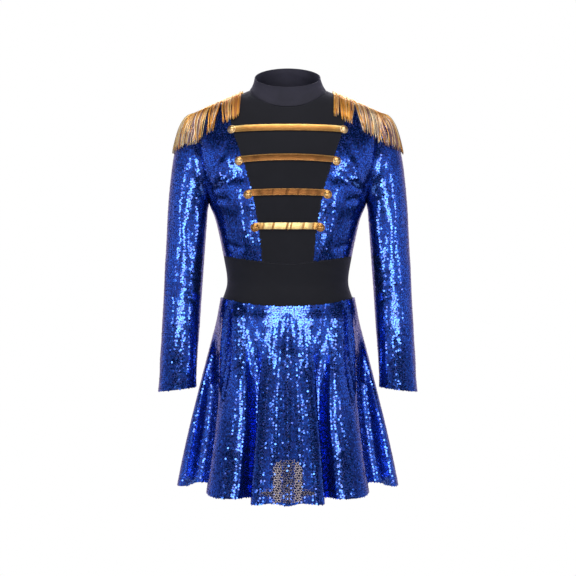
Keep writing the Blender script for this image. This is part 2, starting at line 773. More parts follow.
def spangle_tree():
    """Flat discs on every face of a sheet, at least a spacing apart, each at its own slant."""
    sizes = {"Width": 0.005, "Spacing": 0.0034, "Slant": 0.12, "Lift": 0.0004, "Seed": 1}
    tree, given = new_tree("sew on spangles", **sizes, Film=None)
    where = {"Mesh": given["Geometry"], "Distance Min": given["Spacing"], "Seed": given["Seed"]}
    where["Density Max"] = 400000.0  # so high that only the spacing counts
    spots = put(tree, "GeometryNodeDistributePointsOnFaces", where, distribute_method="POISSON")
    half = put(tree, "ShaderNodeMath", {0: given["Width"], 1: 0.5}, operation="MULTIPLY")
    disc = put(
        tree,
        "GeometryNodeMeshCircle",
        {"Vertices": SPANGLE_CORNERS, "Radius": half.outputs[0]},
        fill_type="NGON",
    )
    back = put(tree, "ShaderNodeMath", {0: given["Slant"], 1: -1.0}, operation="MULTIPLY")
    least = put(tree, "ShaderNodeCombineXYZ", {0: back.outputs[0], 1: back.outputs[0], 2: -3.14})
    most = put(tree, "ShaderNodeCombineXYZ", {0: given["Slant"], 1: given["Slant"], 2: 3.14})
    slants = put(
        tree,
        "FunctionNodeRandomValue",
        {0: least.outputs[0], 1: most.outputs[0], "Seed": given["Seed"]},
        data_type="FLOAT_VECTOR",
    )
    # a high power of a random share is near 0 for most and near 1 for a few: those hang loose
    loose = put(tree, "FunctionNodeRandomValue", {2: 0.0, 3: 1.0, "Seed": 23}, data_type="FLOAT")
    few = put(tree, "ShaderNodeMath", {0: loose.outputs[1], 1: 16.0}, operation="POWER")
    more = put(tree, "ShaderNodeMath", {0: few.outputs[0], 1: 5.0, 2: 1.0}, operation="MULTIPLY_ADD")
    wilder = put(
        tree, "ShaderNodeVectorMath", {0: slants.outputs[0], "Scale": more.outputs[0]}, operation="SCALE"
    )
    turn = put(tree, "FunctionNodeEulerToRotation", {0: wilder.outputs[0]})
    slanted = put(
        tree,
        "FunctionNodeRotateRotation",
        {0: spots.outputs["Rotation"], 1: turn.outputs[0]},
        rotation_space="LOCAL",
    )
    sewn = put(
        tree,
        "GeometryNodeInstanceOnPoints",
        {"Points": spots.outputs["Points"], "Instance": disc.outputs[0], "Rotation": slanted.outputs[0]},
    )
    # neighbours lie at different heights, so that they overlap without cutting each other
    heights = put(tree, "FunctionNodeRandomValue", {2: 0.25, 3: 1.0, "Seed": 7}, data_type="FLOAT")
    height = put(tree, "ShaderNodeMath", {0: heights.outputs[1], 1: given["Lift"]}, operation="MULTIPLY")
    rise = put(tree, "ShaderNodeCombineXYZ", {2: height.outputs[0]})
    lifted = put(
        tree,
        "GeometryNodeTranslateInstances",
        {"Instances": sewn.outputs[0], "Translation": rise.outputs[0], "Local Space": True},
    )
    tone = put(tree, "FunctionNodeRandomValue", {2: 0.0, 3: 1.0, "Seed": 11}, data_type="FLOAT")
    stored = put(
        tree,
        "GeometryNodeStoreNamedAttribute",
        {"Geometry": lifted.outputs[0], "Name": "shade", "Value": tone.outputs[1]},
        data_type="FLOAT",
        domain="INSTANCE",
    )
    return end_tree(tree, stored.outputs[0], given["Film"])


sew_on_spangles = spangle_tree()
print("spangle nodes:", len(sew_on_spangles.nodes))


# %% Running a node tree
def run_nodes(source, tree, name, values):
    """Runs a node tree on an object and keeps the result as a plain mesh of its own."""
    modifier = source.modifiers.new("nodes", "NODES")
    modifier.node_group = tree
    by_name = {s.name: s.identifier for s in tree.interface.items_tree if s.in_out == "INPUT"}
    for key, value in values.items():
        modifier[by_name[key]] = value
    bpy.context.view_layer.update()
    found = bpy.context.evaluated_depsgraph_get()
    mesh = bpy.data.meshes.new_from_object(source.evaluated_get(found), depsgraph=found)
    mesh.name = name
    made = bpy.data.objects.new(name, mesh)
    scene.collection.objects.link(made)
    source.modifiers.remove(modifier)
    return made


SPANGLE_WIDTH = 3.8 * MM
SPANGLE_SPACING = 2.8 * MM  # between centres, at least
SPANGLE_SLANT = 0.036  # radians either way, for most of them
SPANGLE_LIFT = 0.6 * MM


def spangles(name, grid, seed, closed=False, mirror=False, faces=None, spacing=SPANGLE_SPACING):
    """The spangles of one piece of cloth, laid on its outer face."""
    points = grid.reshape(-1, 3)
    faces = quads(*grid.shape[:2], closed) if faces is None else faces
    if mirror:
        points, faces = points * [-1, 1, 1], faces[:, ::-1]
    ground = mesh_object(name + "_ground", (points, faces, None))
    sizes = {"Width": SPANGLE_WIDTH, "Spacing": spacing, "Slant": SPANGLE_SLANT, "Lift": SPANGLE_LIFT}
    made = run_nodes(ground, sew_on_spangles, name, {**sizes, "Seed": seed, "Film": blue_film})
    bpy.data.objects.remove(ground)
    print(name, "spangles:", len(made.data.polygons))
    return dress(made)


print("a spangle is", round(SPANGLE_WIDTH / MM, 1), "mm wide")

# %% [markdown]
# ## Bodice
#
# The front is three cuts: the black centre panel, which widens up to the shoulder seams, and a
# sequined side front on each side of it. The back is one sequined cut. Their rows follow the
# side seam and then the armhole, so that neighbours share every seam line.

# %% Bodice grids
SIDE_ROWS, ARM_ROWS = 36, 64


def arm_heights(turn):
    """Heights of the armhole's edge, with turn from 0 at the armpit to 1 at the shoulder."""
    return lerp(ARMPIT_Z, -SHOULDER_DROP, (1 - np.cos(np.pi * turn)) / 2)


side_heights = np.concatenate(
    [np.linspace(BODICE_SIDE_Z, ARMPIT_Z, SIDE_ROWS + 1)[:-1], arm_heights(np.linspace(0, 1, ARM_ROWS + 1))]
)
row_shares = (side_heights - BODICE_SIDE_Z) / (-SHOULDER_DROP - BODICE_SIDE_Z)
PANEL_BOTTOM_Z, PANEL_BOTTOM_X = PANEL_EDGE[0][0] * MM, PANEL_EDGE[0][1] * MM
PANEL_TOP_Z, PANEL_TOP_X = PANEL_EDGE[-1][0] * MM, PANEL_EDGE[-1][1] * MM
print("rows of the bodice:", len(side_heights))


# %% Columns of the bodice
def quarter_sine(t):
    """Steps that get closer towards 1, where the figure turns away."""
    return np.sin(t * np.pi / 2)


def both_ways(half):
    """The shares of one half, and the same on the other side of the middle."""
    return np.concatenate([-half[:0:-1], half])


def panel_edge_x(share):
    return edge_at(lerp(PANEL_BOTTOM_Z, PANEL_TOP_Z, share))


def front_panel_grid():
    """The rows end in the neckline and the shoulder seams, with a column at each neck point."""
    neck = NECK_X / PANEL_TOP_X
    half = np.concatenate([quarter_sine(np.linspace(0, 1, 31)) * neck, np.linspace(neck, 1, 13)[1:]])
    u, share = np.meshgrid(both_ways(half), row_shares)
    bottom = bodice_bottom(u * PANEL_BOTTOM_X, FRONT)
    height = lerp(bottom, top_edge(u * PANEL_TOP_X, FRONT), share)
    return cloth_at(u * panel_edge_x(share), height, FRONT)


def side_front_grid():
    """From the panel's edge round to the side seam and armhole, on the wearer's left."""
    u, share = np.meshgrid(quarter_sine(np.linspace(0, 1, 45)), row_shares)
    heights = np.broadcast_to(side_heights[:, None], u.shape)
    x = lerp(panel_edge_x(share), bodice_edge_x(heights), u)
    bottom = bodice_bottom(lerp(PANEL_BOTTOM_X, BODICE_BOTTOM_X, u), FRONT)
    top = ridge(lerp(PANEL_TOP_X, SHOULDER_X, u), FRONT)
    return cloth_at(x, lerp(bottom, top, share), FRONT)


def back_grid():
    """Like the front, but one cut from armhole to armhole."""
    neck = NECK_X / SHOULDER_X
    under_neck = quarter_sine(np.linspace(0, 1, 31)) * neck
    half = np.concatenate([under_neck, lerp(neck, 1, quarter_sine(np.linspace(0, 1, 41)))[1:]])
    u, share = np.meshgrid(both_ways(half)[::-1], row_shares)
    heights = np.broadcast_to(side_heights[:, None], u.shape)
    x = u * bodice_edge_x(heights)
    return cloth_at(x, lerp(BODICE_SIDE_Z, top_edge(u * SHOULDER_X, BACK), share), BACK)


front_grid, side_grid, rear_grid = front_panel_grid(), side_front_grid(), back_grid()
for name, grid in (("front panel", front_grid), ("side front", side_grid), ("back", rear_grid)):
    tell_size(name, grid)


# %% Bodice pieces
def bodice_wall(grid, thickness):
    """Seams at the shoulder and the side keep clear of the piece on the seam's other side."""
    made = inset(grid)
    x = np.abs(made[..., 0])
    on_shoulder = np.zeros(x.shape, bool)
    on_shoulder[-1] = x[-1] > NECK_X - MM
    low = slice(0, SIDE_ROWS + 1)
    on_side = np.zeros(x.shape, bool)
    on_side[low] = x[low] > bodice_edge_x(side_heights[low])[:, None] - MM
    return wall(made, thickness, across=[(on_shoulder | on_side, 1)])


front_panel = dress(
    mesh_object("jersey_front_panel", bodice_wall(front_grid, KNIT), black_jersey), ["front_panel"]
)
side_wall = bodice_wall(side_grid, SEQUIN_CLOTH)
side_left = dress(mesh_object("mesh_side_left", side_wall, blue_mesh), ["front_side_left"])
side_right = dress(mesh_object("mesh_side_right", mirrored(side_wall), blue_mesh), ["front_side_right"])
back_piece = dress(mesh_object("mesh_back", bodice_wall(rear_grid, SEQUIN_CLOTH), blue_mesh), ["back"])
side_left_spangles = spangles("spangles_side_left", side_grid, 3)
side_right_spangles = spangles("spangles_side_right", side_grid, 4, mirror=True)
back_spangles = spangles("spangles_back", rear_grid, 5)
print("bodice pieces so far:", len(shown))

# %% [markdown]
# ## Collar
#
# The mock neck is one ring of doubled jersey, sewn to the neckline. It leans in towards the neck,
# and its rim is a tilted oval, higher at the nape. A turned-over edge is round, so the rim closes
# with a half circle and not with a flat cut.

# %% Collar sizes
RIM = {"half_width": 66, "half_depth": 59, "middle_y": -4, "front_z": -1, "back_z": 52}
COLLAR_LEAN = 1.6
COLLAR_RISE = 0.6 * MM  # the seam allowance inside holds the collar this far off the neckline
COLLAR_QUARTER, COLLAR_ROWS = 36, 22
COLLAR_FADE = 0.3  # creases begin above this share of the height
COLLAR_MARKS = [  # mm round the neck from the centre front, then height, as for other creases
    (-60, 16, 50, 12, 5, -0.7, -3),
    (-120, 24, -40, 20, 6, 0.8, 3),
    (40, 22, 130, 26, 5, -0.6, 2),
    (150, 22, 250, 30, 7, -0.8, 4),
    (-250, 34, -160, 26, 6, -0.7, -3),
]
print("collar rim:", 2 * RIM["half_width"], "x", 2 * RIM["half_depth"], "mm")


# %% Collar shape
def collar_grid():
    """Rows from the neckline up to the rim. Points run anticlockwise from the wearer's right."""
    turn = np.linspace(-1, 1, 2 * COLLAR_QUARTER + 1)
    x = NECK_X * np.sin(turn * np.pi / 2)
    front = cloth_at(x, top_edge(x, FRONT), FRONT)[:-1]
    rear = cloth_at(x[::-1], top_edge(x[::-1], BACK), BACK)[:-1]
    base = np.concatenate([front, rear])
    rim_y, deep = RIM["middle_y"] * MM, RIM["half_depth"] * MM
    a = np.arctan2(base[:, 0] / NECK_X, -(base[:, 1] - rim_y) / deep)
    rim_z = lerp(RIM["front_z"], RIM["back_z"], (1 - np.cos(a)) / 2) * MM
    rim = np.stack([RIM["half_width"] * MM * np.sin(a), rim_y - deep * np.cos(a), rim_z], -1)
    t = np.linspace(0, 1, COLLAR_ROWS)[:, None]
    lean = 1 - (1 - t) ** COLLAR_LEAN
    flat = lerp(base[None, :, :2], rim[None, :, :2], lean[..., None])
    height = lerp(base[None, :, 2] + COLLAR_RISE, rim[None, :, 2], t)
    return np.concatenate([flat, height[..., None]], -1)


def hemmed(grid, thickness, closed):
    """A doubled wall whose top edge turns over in a half circle."""
    outward = normals_of(grid, closed)
    up = steps_towards(grid[-2], grid[-1], 1.0)
    middle = grid[-1] - outward[-1] * thickness / 2
    turns = [math.pi * k / 8 for k in range(1, 8)]
    fold = [
        middle + outward[-1] * math.cos(a) * thickness / 2 + up * math.sin(a) * thickness / 2
        for a in turns
    ]
    inner = (grid - outward * thickness)[::-1]
    sheet = np.concatenate([grid, np.array(fold), inner])
    rows, columns = sheet.shape[:2]
    faces = quads(rows, columns, closed)
    first, last = np.arange(columns), np.arange(columns) + (rows - 1) * columns
    rim = np.stack([first, last, np.roll(last, -1), np.roll(first, -1)], -1)
    u, v = lengths_along(sheet, 1), lengths_along(sheet, 0)
    flat = np.stack([u, v], -1).reshape(-1, 2)
    return sheet.reshape(-1, 3), np.concatenate([faces, rim]), flat


neck_grid = collar_grid()
round_neck = lengths_along(neck_grid, 1)
round_neck = round_neck - round_neck[:, COLLAR_QUARTER : COLLAR_QUARTER + 1]
neck_height = creases(round_neck, lengths_along(neck_grid, 0), COLLAR_MARKS)
neck_height *= smooth(clamp(np.linspace(0, 1, COLLAR_ROWS) / COLLAR_FADE))[:, None]
neck_grid = neck_grid + normals_of(neck_grid, True) * neck_height[..., None]
collar = dress(
    mesh_object("jersey_collar", hemmed(neck_grid, COLLAR_KNIT, True), collar_jersey, 60), ["collar"]
)
tell_size("collar", neck_grid, True)

# %% [markdown]
# ## Sleeves
#
# A set-in sleeve is one tube from the armhole to the wrist, a little bent at the elbow. Its rings
# come from a table of the arm. The elbow has short slanting creases on the inside of the bend, and
# the upper arm a long soft one from the armpit.

# %% Sleeve sizes
SLEEVE_ROUND = 0.9
ROUND_ARM = 240 * MM
SLEEVE_SEAM_FADE = 30 * MM
# inner x, inner z, outer x, outer z, y of the middle, half depth, from the shoulder to the cuff
SLEEVE = [
    (157.6, -225, 200.5, -56.5, -2, 55),
    (158.2, -228, 212, -75, -1, 55),
    (159, -232, 221, -103, 0, 53),
    (160, -237, 228.5, -138, 0, 51),
    (160.8, -244, 234, -180, 0, 48),
    (161.5, -256, 238.5, -228, 1, 46),
    (164, -288, 241.5, -284, 2, 44.5),
    (168.5, -352, 245, -352, 3, 43),
    (172.5, -410, 247.5, -410, 1, 42),
    (176, -470, 250.5, -470, -6, 40),
    (180, -530, 252.5, -530, -16, 38.5),
    (181.5, -572, 254.5, -576, -25, 38),
    (181, -589, 256.5, -598, -28, 39),
]
# Creases on the unrolled sleeve: mm round from the inside of the arm over its front, then height
SLEEVE_MARKS = [
    (34, -560, 44, -470, 8, 1.6, 4),
    (60, -540, 52, -440, 7, -1.5, -4),
    (20, -430, 58, -404, 6, -1.8, 3),
    (18, -402, 66, -392, 6, 1.4, -3),
    (16, -384, 60, -366, 6, -1.9, 3),
    (78, -470, 84, -380, 8, 1.5, 5),
    (62, -350, 70, -250, 8, 1.7, 4),
    (40, -340, 48, -240, 8, -1.6, -4),
    (86, -320, 92, -200, 8, -1.3, -4),
    (104, -430, 112, -330, 9, 1.2, 5),
    (30, -300, 34, -235, 6, 1.5, 3),
    (150, -420, 196, -392, 7, -1.7, 4),
    (158, -388, 206, -372, 6, 1.3, -3),
    (150, -350, 190, -300, 8, -1.6, 4),
    (140, -530, 168, -450, 8, -1.4, 4),
    (186, -300, 180, -220, 8, 1.4, -4),
    (120, -560, 128, -500, 7, 1.2, 3),
]
print("sleeve creases:", len(SLEEVE_MARKS))


# %% Sleeve shape
def sleeve_grid(rows=120, columns=96):
    """Rings from the cuff up to the armhole, anticlockwise from above for the wearer's left."""
    turn = 2 * np.pi * np.arange(columns) / columns
    angle = np.where(turn <= np.pi, turn, 2 * np.pi - turn)
    side = np.where(turn <= np.pi, FRONT, BACK)
    across = (1 - np.cos(angle)) / 2
    rings = []
    for inner_x, inner_z, outer_x, outer_z, y, deep in SLEEVE:
        out = deep * np.sin(angle).clip(0) ** SLEEVE_ROUND
        x, z = lerp(inner_x, outer_x, across), lerp(inner_z, outer_z, across)
        rings.append(np.stack([x, y + side * out, z], -1) * MM)
    z = arm_heights(angle / np.pi)
    x = armhole_x(z)
    seam = np.where((side == FRONT)[:, None], on_body(x, z, FRONT), on_body(x, z, BACK))
    rings = np.array([*rings[::-1], seam + [SEAM_GAP, 0, 0]])
    apart = np.linalg.norm(np.diff(rings, axis=0), axis=-1).mean(axis=1)
    at = np.concatenate([[0], np.cumsum(apart)])
    grid = through(at, rings)(np.linspace(0, at[-1], rows))
    around = ROUND_ARM * turn / (2 * np.pi)
    height = creases(around[None, :], grid[..., 2], SLEEVE_MARKS)
    to_seam = at[-1] - np.linspace(0, at[-1], rows)
    seam_fade = smooth(clamp(to_seam / SLEEVE_SEAM_FADE))[:, None]
    return grid + normals_of(grid, True) * (height * seam_fade)[..., None]


arm_grid = sleeve_grid()
tell_size("sleeve", arm_grid, True)

# %% Sleeve pieces
at_armhole = np.zeros(arm_grid.shape[:2], bool)
at_armhole[-1] = True
arm_wall = wall(arm_grid, SEQUIN_CLOTH, closed=True, across=[(at_armhole, 0)])
sleeve_left = dress(mesh_object("mesh_sleeve_left", arm_wall, blue_mesh), ["sleeve_left"])
sleeve_right = dress(mesh_object("mesh_sleeve_right", mirrored(arm_wall), blue_mesh), ["sleeve_right"])
sleeve_left_spangles = spangles("spangles_sleeve_left", arm_grid, 8, closed=True)
sleeve_right_spangles = spangles("spangles_sleeve_right", arm_grid, 9, closed=True, mirror=True)

# %% [markdown]
# ## Midriff band and briefs
#
# The band is a plain close-fitting tube, cut in two with side seams, and the skirt's top edge lies
# over it. Under the skirt it goes on as leotard briefs with high leg holes. Nothing of the briefs
# shows in a front view, but a reader may look from below, so they are finished as the rest.


# %% Band and briefs: sizes
def band_grid(side):
    """From under the skirt's top edge up to the bodice."""
    columns = both_ways(quarter_sine(np.linspace(0, 1, 46)))
    u, share = np.meshgrid(columns if side == FRONT else columns[::-1], np.linspace(0, 1, 40))
    top = bodice_bottom(u * BODICE_BOTTOM_X, side)
    z = lerp(skirt_top(u, side) - SKIRT_OVERLAP, top, share)
    return cloth_at(u * half_width(z), z, side)


# middle y, middle z, edge x, edge y, edge z, from the top edge to the crotch seam
BRIEF_FRONT = [
    (-97, -436.3, 130, 0, -419.3),
    (-98, -470, 132, 0, -440),
    (-96, -510, 132, 0, -462),
    (-90, -550, 116, -44, -498),
    (-76, -586, 92, -62, -542),
    (-52, -617, 66, -52, -590),
    (-26, -637, 44, -28, -628),
    (0, -645, 36, 0, -642),
]
BRIEF_BACK = [
    (87, -419.3, 130, 0, -419.3),
    (92, -458, 132, 0, -440),
    (96, -503, 132, 0, -462),
    (96, -548, 124, 38, -508),
    (85, -588, 106, 60, -558),
    (60, -619, 78, 54, -606),
    (30, -638, 48, 30, -634),
    (0, -645, 36, 0, -642),
]
BRIEF_MARKS = [  # x and z, seen from the front or back
    (96, -500, 34, -560, 6, -1.4, 4),
    (104, -476, 40, -520, 7, -1.1, 4),
    (60, -574, 16, -600, 5, -1.2, 2),
    (128, -448, 70, -458, 7, -1.0, 3),
]
BRIEF_ROWS, HIP_ROW = 64, 45  # the side seam starts at the hip row; below it is the leg hole
BRIEF_FADE = 0.15
print("briefs: creases", 2 * len(BRIEF_MARKS), "on each half")


# %% Band and briefs: pieces
def brief_grid(rows, side):
    """Rows from the crotch seam up to the band. The top edge and the leg holes bow."""
    at = np.arange(len(rows))
    curves = through(at, np.array(rows[::-1], float) * MM)(np.linspace(0, at[-1], BRIEF_ROWS))
    columns = both_ways(quarter_sine(np.linspace(0, 1, 30)))
    u = (columns if side == FRONT else columns[::-1])[None, :]
    middle_y, middle_z, edge_x, edge_y, edge_z = [c[:, None] for c in curves.T]
    y = lerp(edge_y, middle_y, crown(u, SECTION_POWER))
    grid = np.stack([u * edge_x, y, lerp(middle_z, edge_z, u * u)], -1)
    from_side = smooth(clamp((1 - np.abs(u)) / BRIEF_FADE))
    from_crotch = smooth(clamp(np.linspace(0, 1, BRIEF_ROWS) / BRIEF_FADE))[:, None]
    marks = mirrored_marks(BRIEF_MARKS)
    height = creases(grid[..., 0], grid[..., 2], marks) * (from_side * from_crotch)
    return grid + normals_of(grid) * height[..., None]


def jersey_half(name, node, grid, side_from, crotch):
    """Side seams run from the row side_from up, and a crotch seam along the bottom row."""
    made = inset(grid)
    at_seam = np.zeros(made.shape[:2], bool)
    at_seam[side_from:, [0, -1]] = True
    at_seam[0] |= crotch
    piece = mesh_object(name, wall(made, KNIT, across=[(at_seam, 1)]), black_jersey)
    tell_size(name, grid)
    return dress(piece, [node])


front_band_grid, back_band_grid = band_grid(FRONT), band_grid(BACK)
front_brief_grid, back_brief_grid = brief_grid(BRIEF_FRONT, FRONT), brief_grid(BRIEF_BACK, BACK)
band_front = jersey_half("jersey_band_front", "band_front", front_band_grid, 0, False)
band_back = jersey_half("jersey_band_back", "band_back", back_band_grid, 0, False)
brief_front = jersey_half("jersey_brief_front", "brief_front", front_brief_grid, HIP_ROW, True)
brief_back = jersey_half("jersey_brief_back", "brief_back", back_brief_grid, HIP_ROW, True)

# %% [markdown]
# ## Skirt
#
# The skirt is cut from part of a ring, so its hem is much longer than its top, and the spare
# length falls into folds. A simulation would drop the folds anywhere; the photograph has a flat
# panel at the centre front between two deep recesses, with rounded folds at the sides. So the hem
# is a closed curve with a point for each crest and valley, and the folds grow down to it.

# %% Hem, flare and creases of the skirt
# x, y, z of the hem for x >= 0, from the centre front round to the centre back
HEM = [
    (0, -176, -805), (26, -164, -802), (54, -177, -802), (69, -168, -803), (66, -140, -799),
    (62, -120, -796), (78, -128, -795), (97, -150, -795), (126, -146, -795), (148, -128, -793),
    (157, -104, -788), (153, -66, -783), (157, -28, -781), (170, -2, -782), (186, 2, -784),
    (198, -12, -787), (210, -20, -788), (220, -6, -788), (218, 22, -786), (205, 42, -783),
    (187, 54, -780), (182, 78, -780), (184, 102, -784), (170, 120, -787), (148, 116, -784),
    (132, 116, -781), (124, 138, -784), (106, 157, -789), (80, 158, -788), (62, 142, -784),
    (46, 138, -783), (30, 156, -787), (0, 168, -790),
]  # fmt: skip
SKIRT_FLARE = {"half_width": 203, "front": 152, "back": 140, "z": -788}
FOLD_START, FOLD_GROWTH = 0.06, 0.75
SKIRT_COLUMNS, SKIRT_ROWS = 440, 80
HIP_HOLLOW, HIP_DEPTH = 12 * MM, 90 * MM  # the front hangs steeper over the hips than lower down
HALF_ROUND, SKIRT_DROP = 950 * MM, 390 * MM
TOP_FADE, SIDE_SEAM_FADE = 0.08, 0.02  # shares of the drop, and of half way round
# Creases: mm round from the centre front at the hem, mm down from the top edge. The first four
# rows are wide swells under the waist, which turn the sequins there to the light in clusters
SKIRT_MARKS = [
    (0, 0, 0, 96, 34, -3.4, 0),
    (140, -14, 128, 110, 56, 3.2, 0),
    (284, -150, 196, 290, 34, 9.5, 0),
    (340, 14, 312, 200, 20, 3.5, 0),
    (14, 40, 22, 150, 7, 0.9, 2),
    (30, 20, 26, 120, 6, -0.9, -2),
    (44, 60, 50, 200, 6, 1.0, 3),
    (8, 190, 12, 330, 6, 0.8, 2),
    (64, 30, 70, 140, 7, -1.2, 3),
    (100, 40, 118, 210, 8, 1.5, 4),
    (136, 60, 168, 260, 7, -1.2, 4),
    (190, 30, 236, 220, 8, 1.3, 5),
    (250, 60, 300, 260, 8, -1.2, 4),
    (330, 40, 350, 200, 9, 1.2, 4),
    (420, 50, 440, 240, 9, -1.2, 5),
    (520, 40, 540, 220, 9, 1.2, -4),
    (620, 50, 640, 240, 9, -1.3, 4),
    (720, 40, 730, 230, 9, 1.2, 4),
    (820, 60, 830, 260, 9, -1.2, -4),
    (900, 40, 905, 220, 9, 1.1, 4),
]
print("hem points:", 2 * len(HEM) - 2, "creases:", 2 * len(SKIRT_MARKS))


# %% Closed lines
def evenly(points, count):
    """A closed line of points shared out into equal steps."""
    line = np.concatenate([points, points[:1]])
    along = np.concatenate([[0], np.cumsum(np.linalg.norm(np.diff(line, axis=0), axis=1))])
    at = np.arange(count) / count * along[-1]
    return np.stack([np.interp(at, along, line[:, k]) for k in range(3)], -1)


def ring(point_at, count):
    """A closed rounded section, from the centre front towards the wearer's left."""
    fine = 4000
    a = np.arange(fine) / fine * 2 * np.pi
    power = 2 / SECTION_POWER
    u = np.sign(np.sin(a)) * np.abs(np.sin(a)) ** power
    v = np.sign(np.cos(a)) * np.abs(np.cos(a)) ** power
    return evenly(point_at(u, v), count)


def centripetal(points, steps=40):
    """A closed curve through the points that doesn't overshoot in tight folds."""
    p0, p1 = np.roll(points, 1, axis=0), points
    p2, p3 = np.roll(points, -1, axis=0), np.roll(points, -2, axis=0)
    pairs = ((p0, p1), (p1, p2), (p2, p3))
    d0, d1, d2 = [np.linalg.norm(b - a, axis=1)[:, None] ** 0.5 for a, b in pairs]
    m1 = ((p1 - p0) / d0 - (p2 - p0) / (d0 + d1) + (p2 - p1) / d1) * d1
    m2 = ((p2 - p1) / d1 - (p3 - p1) / (d1 + d2) + (p3 - p2) / d2) * d1
    made = []
    for t in np.arange(steps) / steps:
        h = (2 * t**3 - 3 * t**2 + 1, t**3 - 2 * t**2 + t, -2 * t**3 + 3 * t**2, t**3 - t**2)
        made.append(h[0] * p1 + h[1] * m1 + h[2] * p2 + h[3] * m2)
    return np.stack(made, axis=1).reshape(-1, 3)


left_hem = np.array(HEM, float) * MM
hem_curve = centripetal(np.concatenate([left_hem, left_hem[-2:0:-1] * [-1, 1, 1]]))
print("points of the hem's curve:", len(hem_curve))

# %% Skirt shape
SEQUINS_STAND = 0.8 * MM  # the solid's wall counts them in, so they count in its place too


def waist_point(u, v):
    """The top edge, which stands off the band by its own thickness and a little more."""
    stand = SKIRT_STAND + SKIRT_CLOTH + SEQUINS_STAND
    front = v > 0
    z = np.where(front, skirt_top(u, FRONT), skirt_top(u, BACK)) - SKIRT_OVERLAP
    deep = np.where(front, front_depth(z), back_depth(z)) + stand
    y = np.where(front, -1, 1) * np.abs(v) * deep
    return np.stack([u * (half_width(z) + stand), y, z + SKIRT_OVERLAP], -1)


def flare_point(u, v):
    """The hem as it would be with no folds."""
    y = np.abs(v) * np.where(v > 0, -SKIRT_FLARE["front"], SKIRT_FLARE["back"])
    return np.stack([u * SKIRT_FLARE["half_width"], y, 0 * u + SKIRT_FLARE["z"]], -1) * MM


def skirt_grid():
    """Rings from the hem up to the top edge, anticlockwise from above from the centre front."""
    hem = evenly(hem_curve, SKIRT_COLUMNS)
    waist, flare = ring(waist_point, SKIRT_COLUMNS), ring(flare_point, SKIRT_COLUMNS)
    down = np.linspace(1, 0, SKIRT_ROWS)[:, None, None]
    folded = smooth(clamp((down - FOLD_START) / (1 - FOLD_START)) ** FOLD_GROWTH)
    grid = lerp(waist[None], flare[None], down) + (hem - flare)[None] * folded
    grid[..., 2] = lerp(waist[None, :, 2], hem[None, :, 2], down[..., 0])
    grid[..., 1] += HIP_HOLLOW * np.sin(np.pi * down[..., 0]) * clamp(-grid[..., 1] / HIP_DEPTH)
    share = np.arange(SKIRT_COLUMNS) / SKIRT_COLUMNS
    around = np.where(share <= 0.5, share, 1 - share) * 2 * HALF_ROUND
    height = creases(around[None, :], down[..., 0] * SKIRT_DROP, SKIRT_MARKS)
    from_middles = 0.5 - np.abs(np.abs(share - 0.5) - 0.25) * 2
    across_fade = smooth(clamp(from_middles / SIDE_SEAM_FADE))[None, :]
    fade = smooth(clamp(down[..., 0] / TOP_FADE)) * across_fade
    return grid + normals_of(grid, True) * (height * fade)[..., None]


all_round = skirt_grid()
hem_length = lengths_along(all_round, 1)[0, -1]
print("hem:", round(float(hem_length), 2), "m round")

# %% Skirt halves
QUARTER = SKIRT_COLUMNS // 4


def skirt_half(side):
    """Columns of the front or back, from side seam to side seam, and their normals."""
    first = -QUARTER if side == FRONT else QUARTER
    keep = (first + np.arange(2 * QUARTER + 1)) % SKIRT_COLUMNS
    return all_round[:, keep], normals_of(all_round, True)[:, keep]


front_skirt_grid, front_skirt_normals = skirt_half(FRONT)
back_skirt_grid, back_skirt_normals = skirt_half(BACK)
for name, grid in (("skirt front", front_skirt_grid), ("skirt back", back_skirt_grid)):
    tell_size(name, grid)

# %% [markdown]
# ## The bare patch at the hem
#
# At the middle of the front hem the spangles are worn off, and the dark ground and a pale net of
# loose threads show: in an arch, and in a low wing on each side of it. The patch could be its own
# piece of cloth, but nothing is sewn there, so it is an area of the skirt's front with another
# finish, no spangles, and threads laid on it.


# %% Skirt pieces
NET_ARCH = {"half_width": 27 * MM, "top": -722 * MM, "bottom": -799 * MM}
NET_WING = {"half_width": 52 * MM, "top": -772 * MM, "bottom": -792 * MM}
ARCH_DROP, WING_NARROWS = 16 * MM, 7 * MM  # at the arch's sides and the wings' ends


def in_patch(x, z):
    """True where the spangles are missing: under an arch, and in two wings that narrow outwards."""
    out = np.abs(x)
    arch_top = NET_ARCH["top"] - ARCH_DROP * (out / NET_ARCH["half_width"]) ** 3
    arch = (out < NET_ARCH["half_width"]) & (z < arch_top) & (z > NET_ARCH["bottom"])
    narrow = WING_NARROWS * out / NET_WING["half_width"]
    wing_top, wing_bottom = NET_WING["top"] - narrow, NET_WING["bottom"] + narrow
    wing = (out < NET_WING["half_width"]) & (z < wing_top) & (z > wing_bottom)
    return arch | wing


def skirt_piece(name, node, grid, normals):
    """The patch keeps its mesh ground, with a finish of its own."""
    piece = mesh_object(name, wall(inset(grid), SKIRT_CLOTH, normals=normals), blue_mesh)
    piece.data.materials.append(bare_mesh)
    for face in piece.data.polygons:
        if face.center.y < 0:
            face.material_index = int(in_patch(np.array(face.center.x), np.array(face.center.z)))
    return dress(piece, [node])


skirt_front = skirt_piece("mesh_skirt_front", "skirt_front", front_skirt_grid, front_skirt_normals)
skirt_back = skirt_piece("mesh_skirt_back", "skirt_back", back_skirt_grid, back_skirt_normals)
front_faces = quads(*front_skirt_grid.shape[:2])
centres = front_skirt_grid.reshape(-1, 3)[front_faces].mean(axis=1)
bare = in_patch(centres[:, 0], centres[:, 2])
skirt_front_spangles = spangles("spangles_skirt_front", front_skirt_grid, 12, faces=front_faces[~bare])
skirt_back_spangles = spangles("spangles_skirt_back", back_skirt_grid, 13)

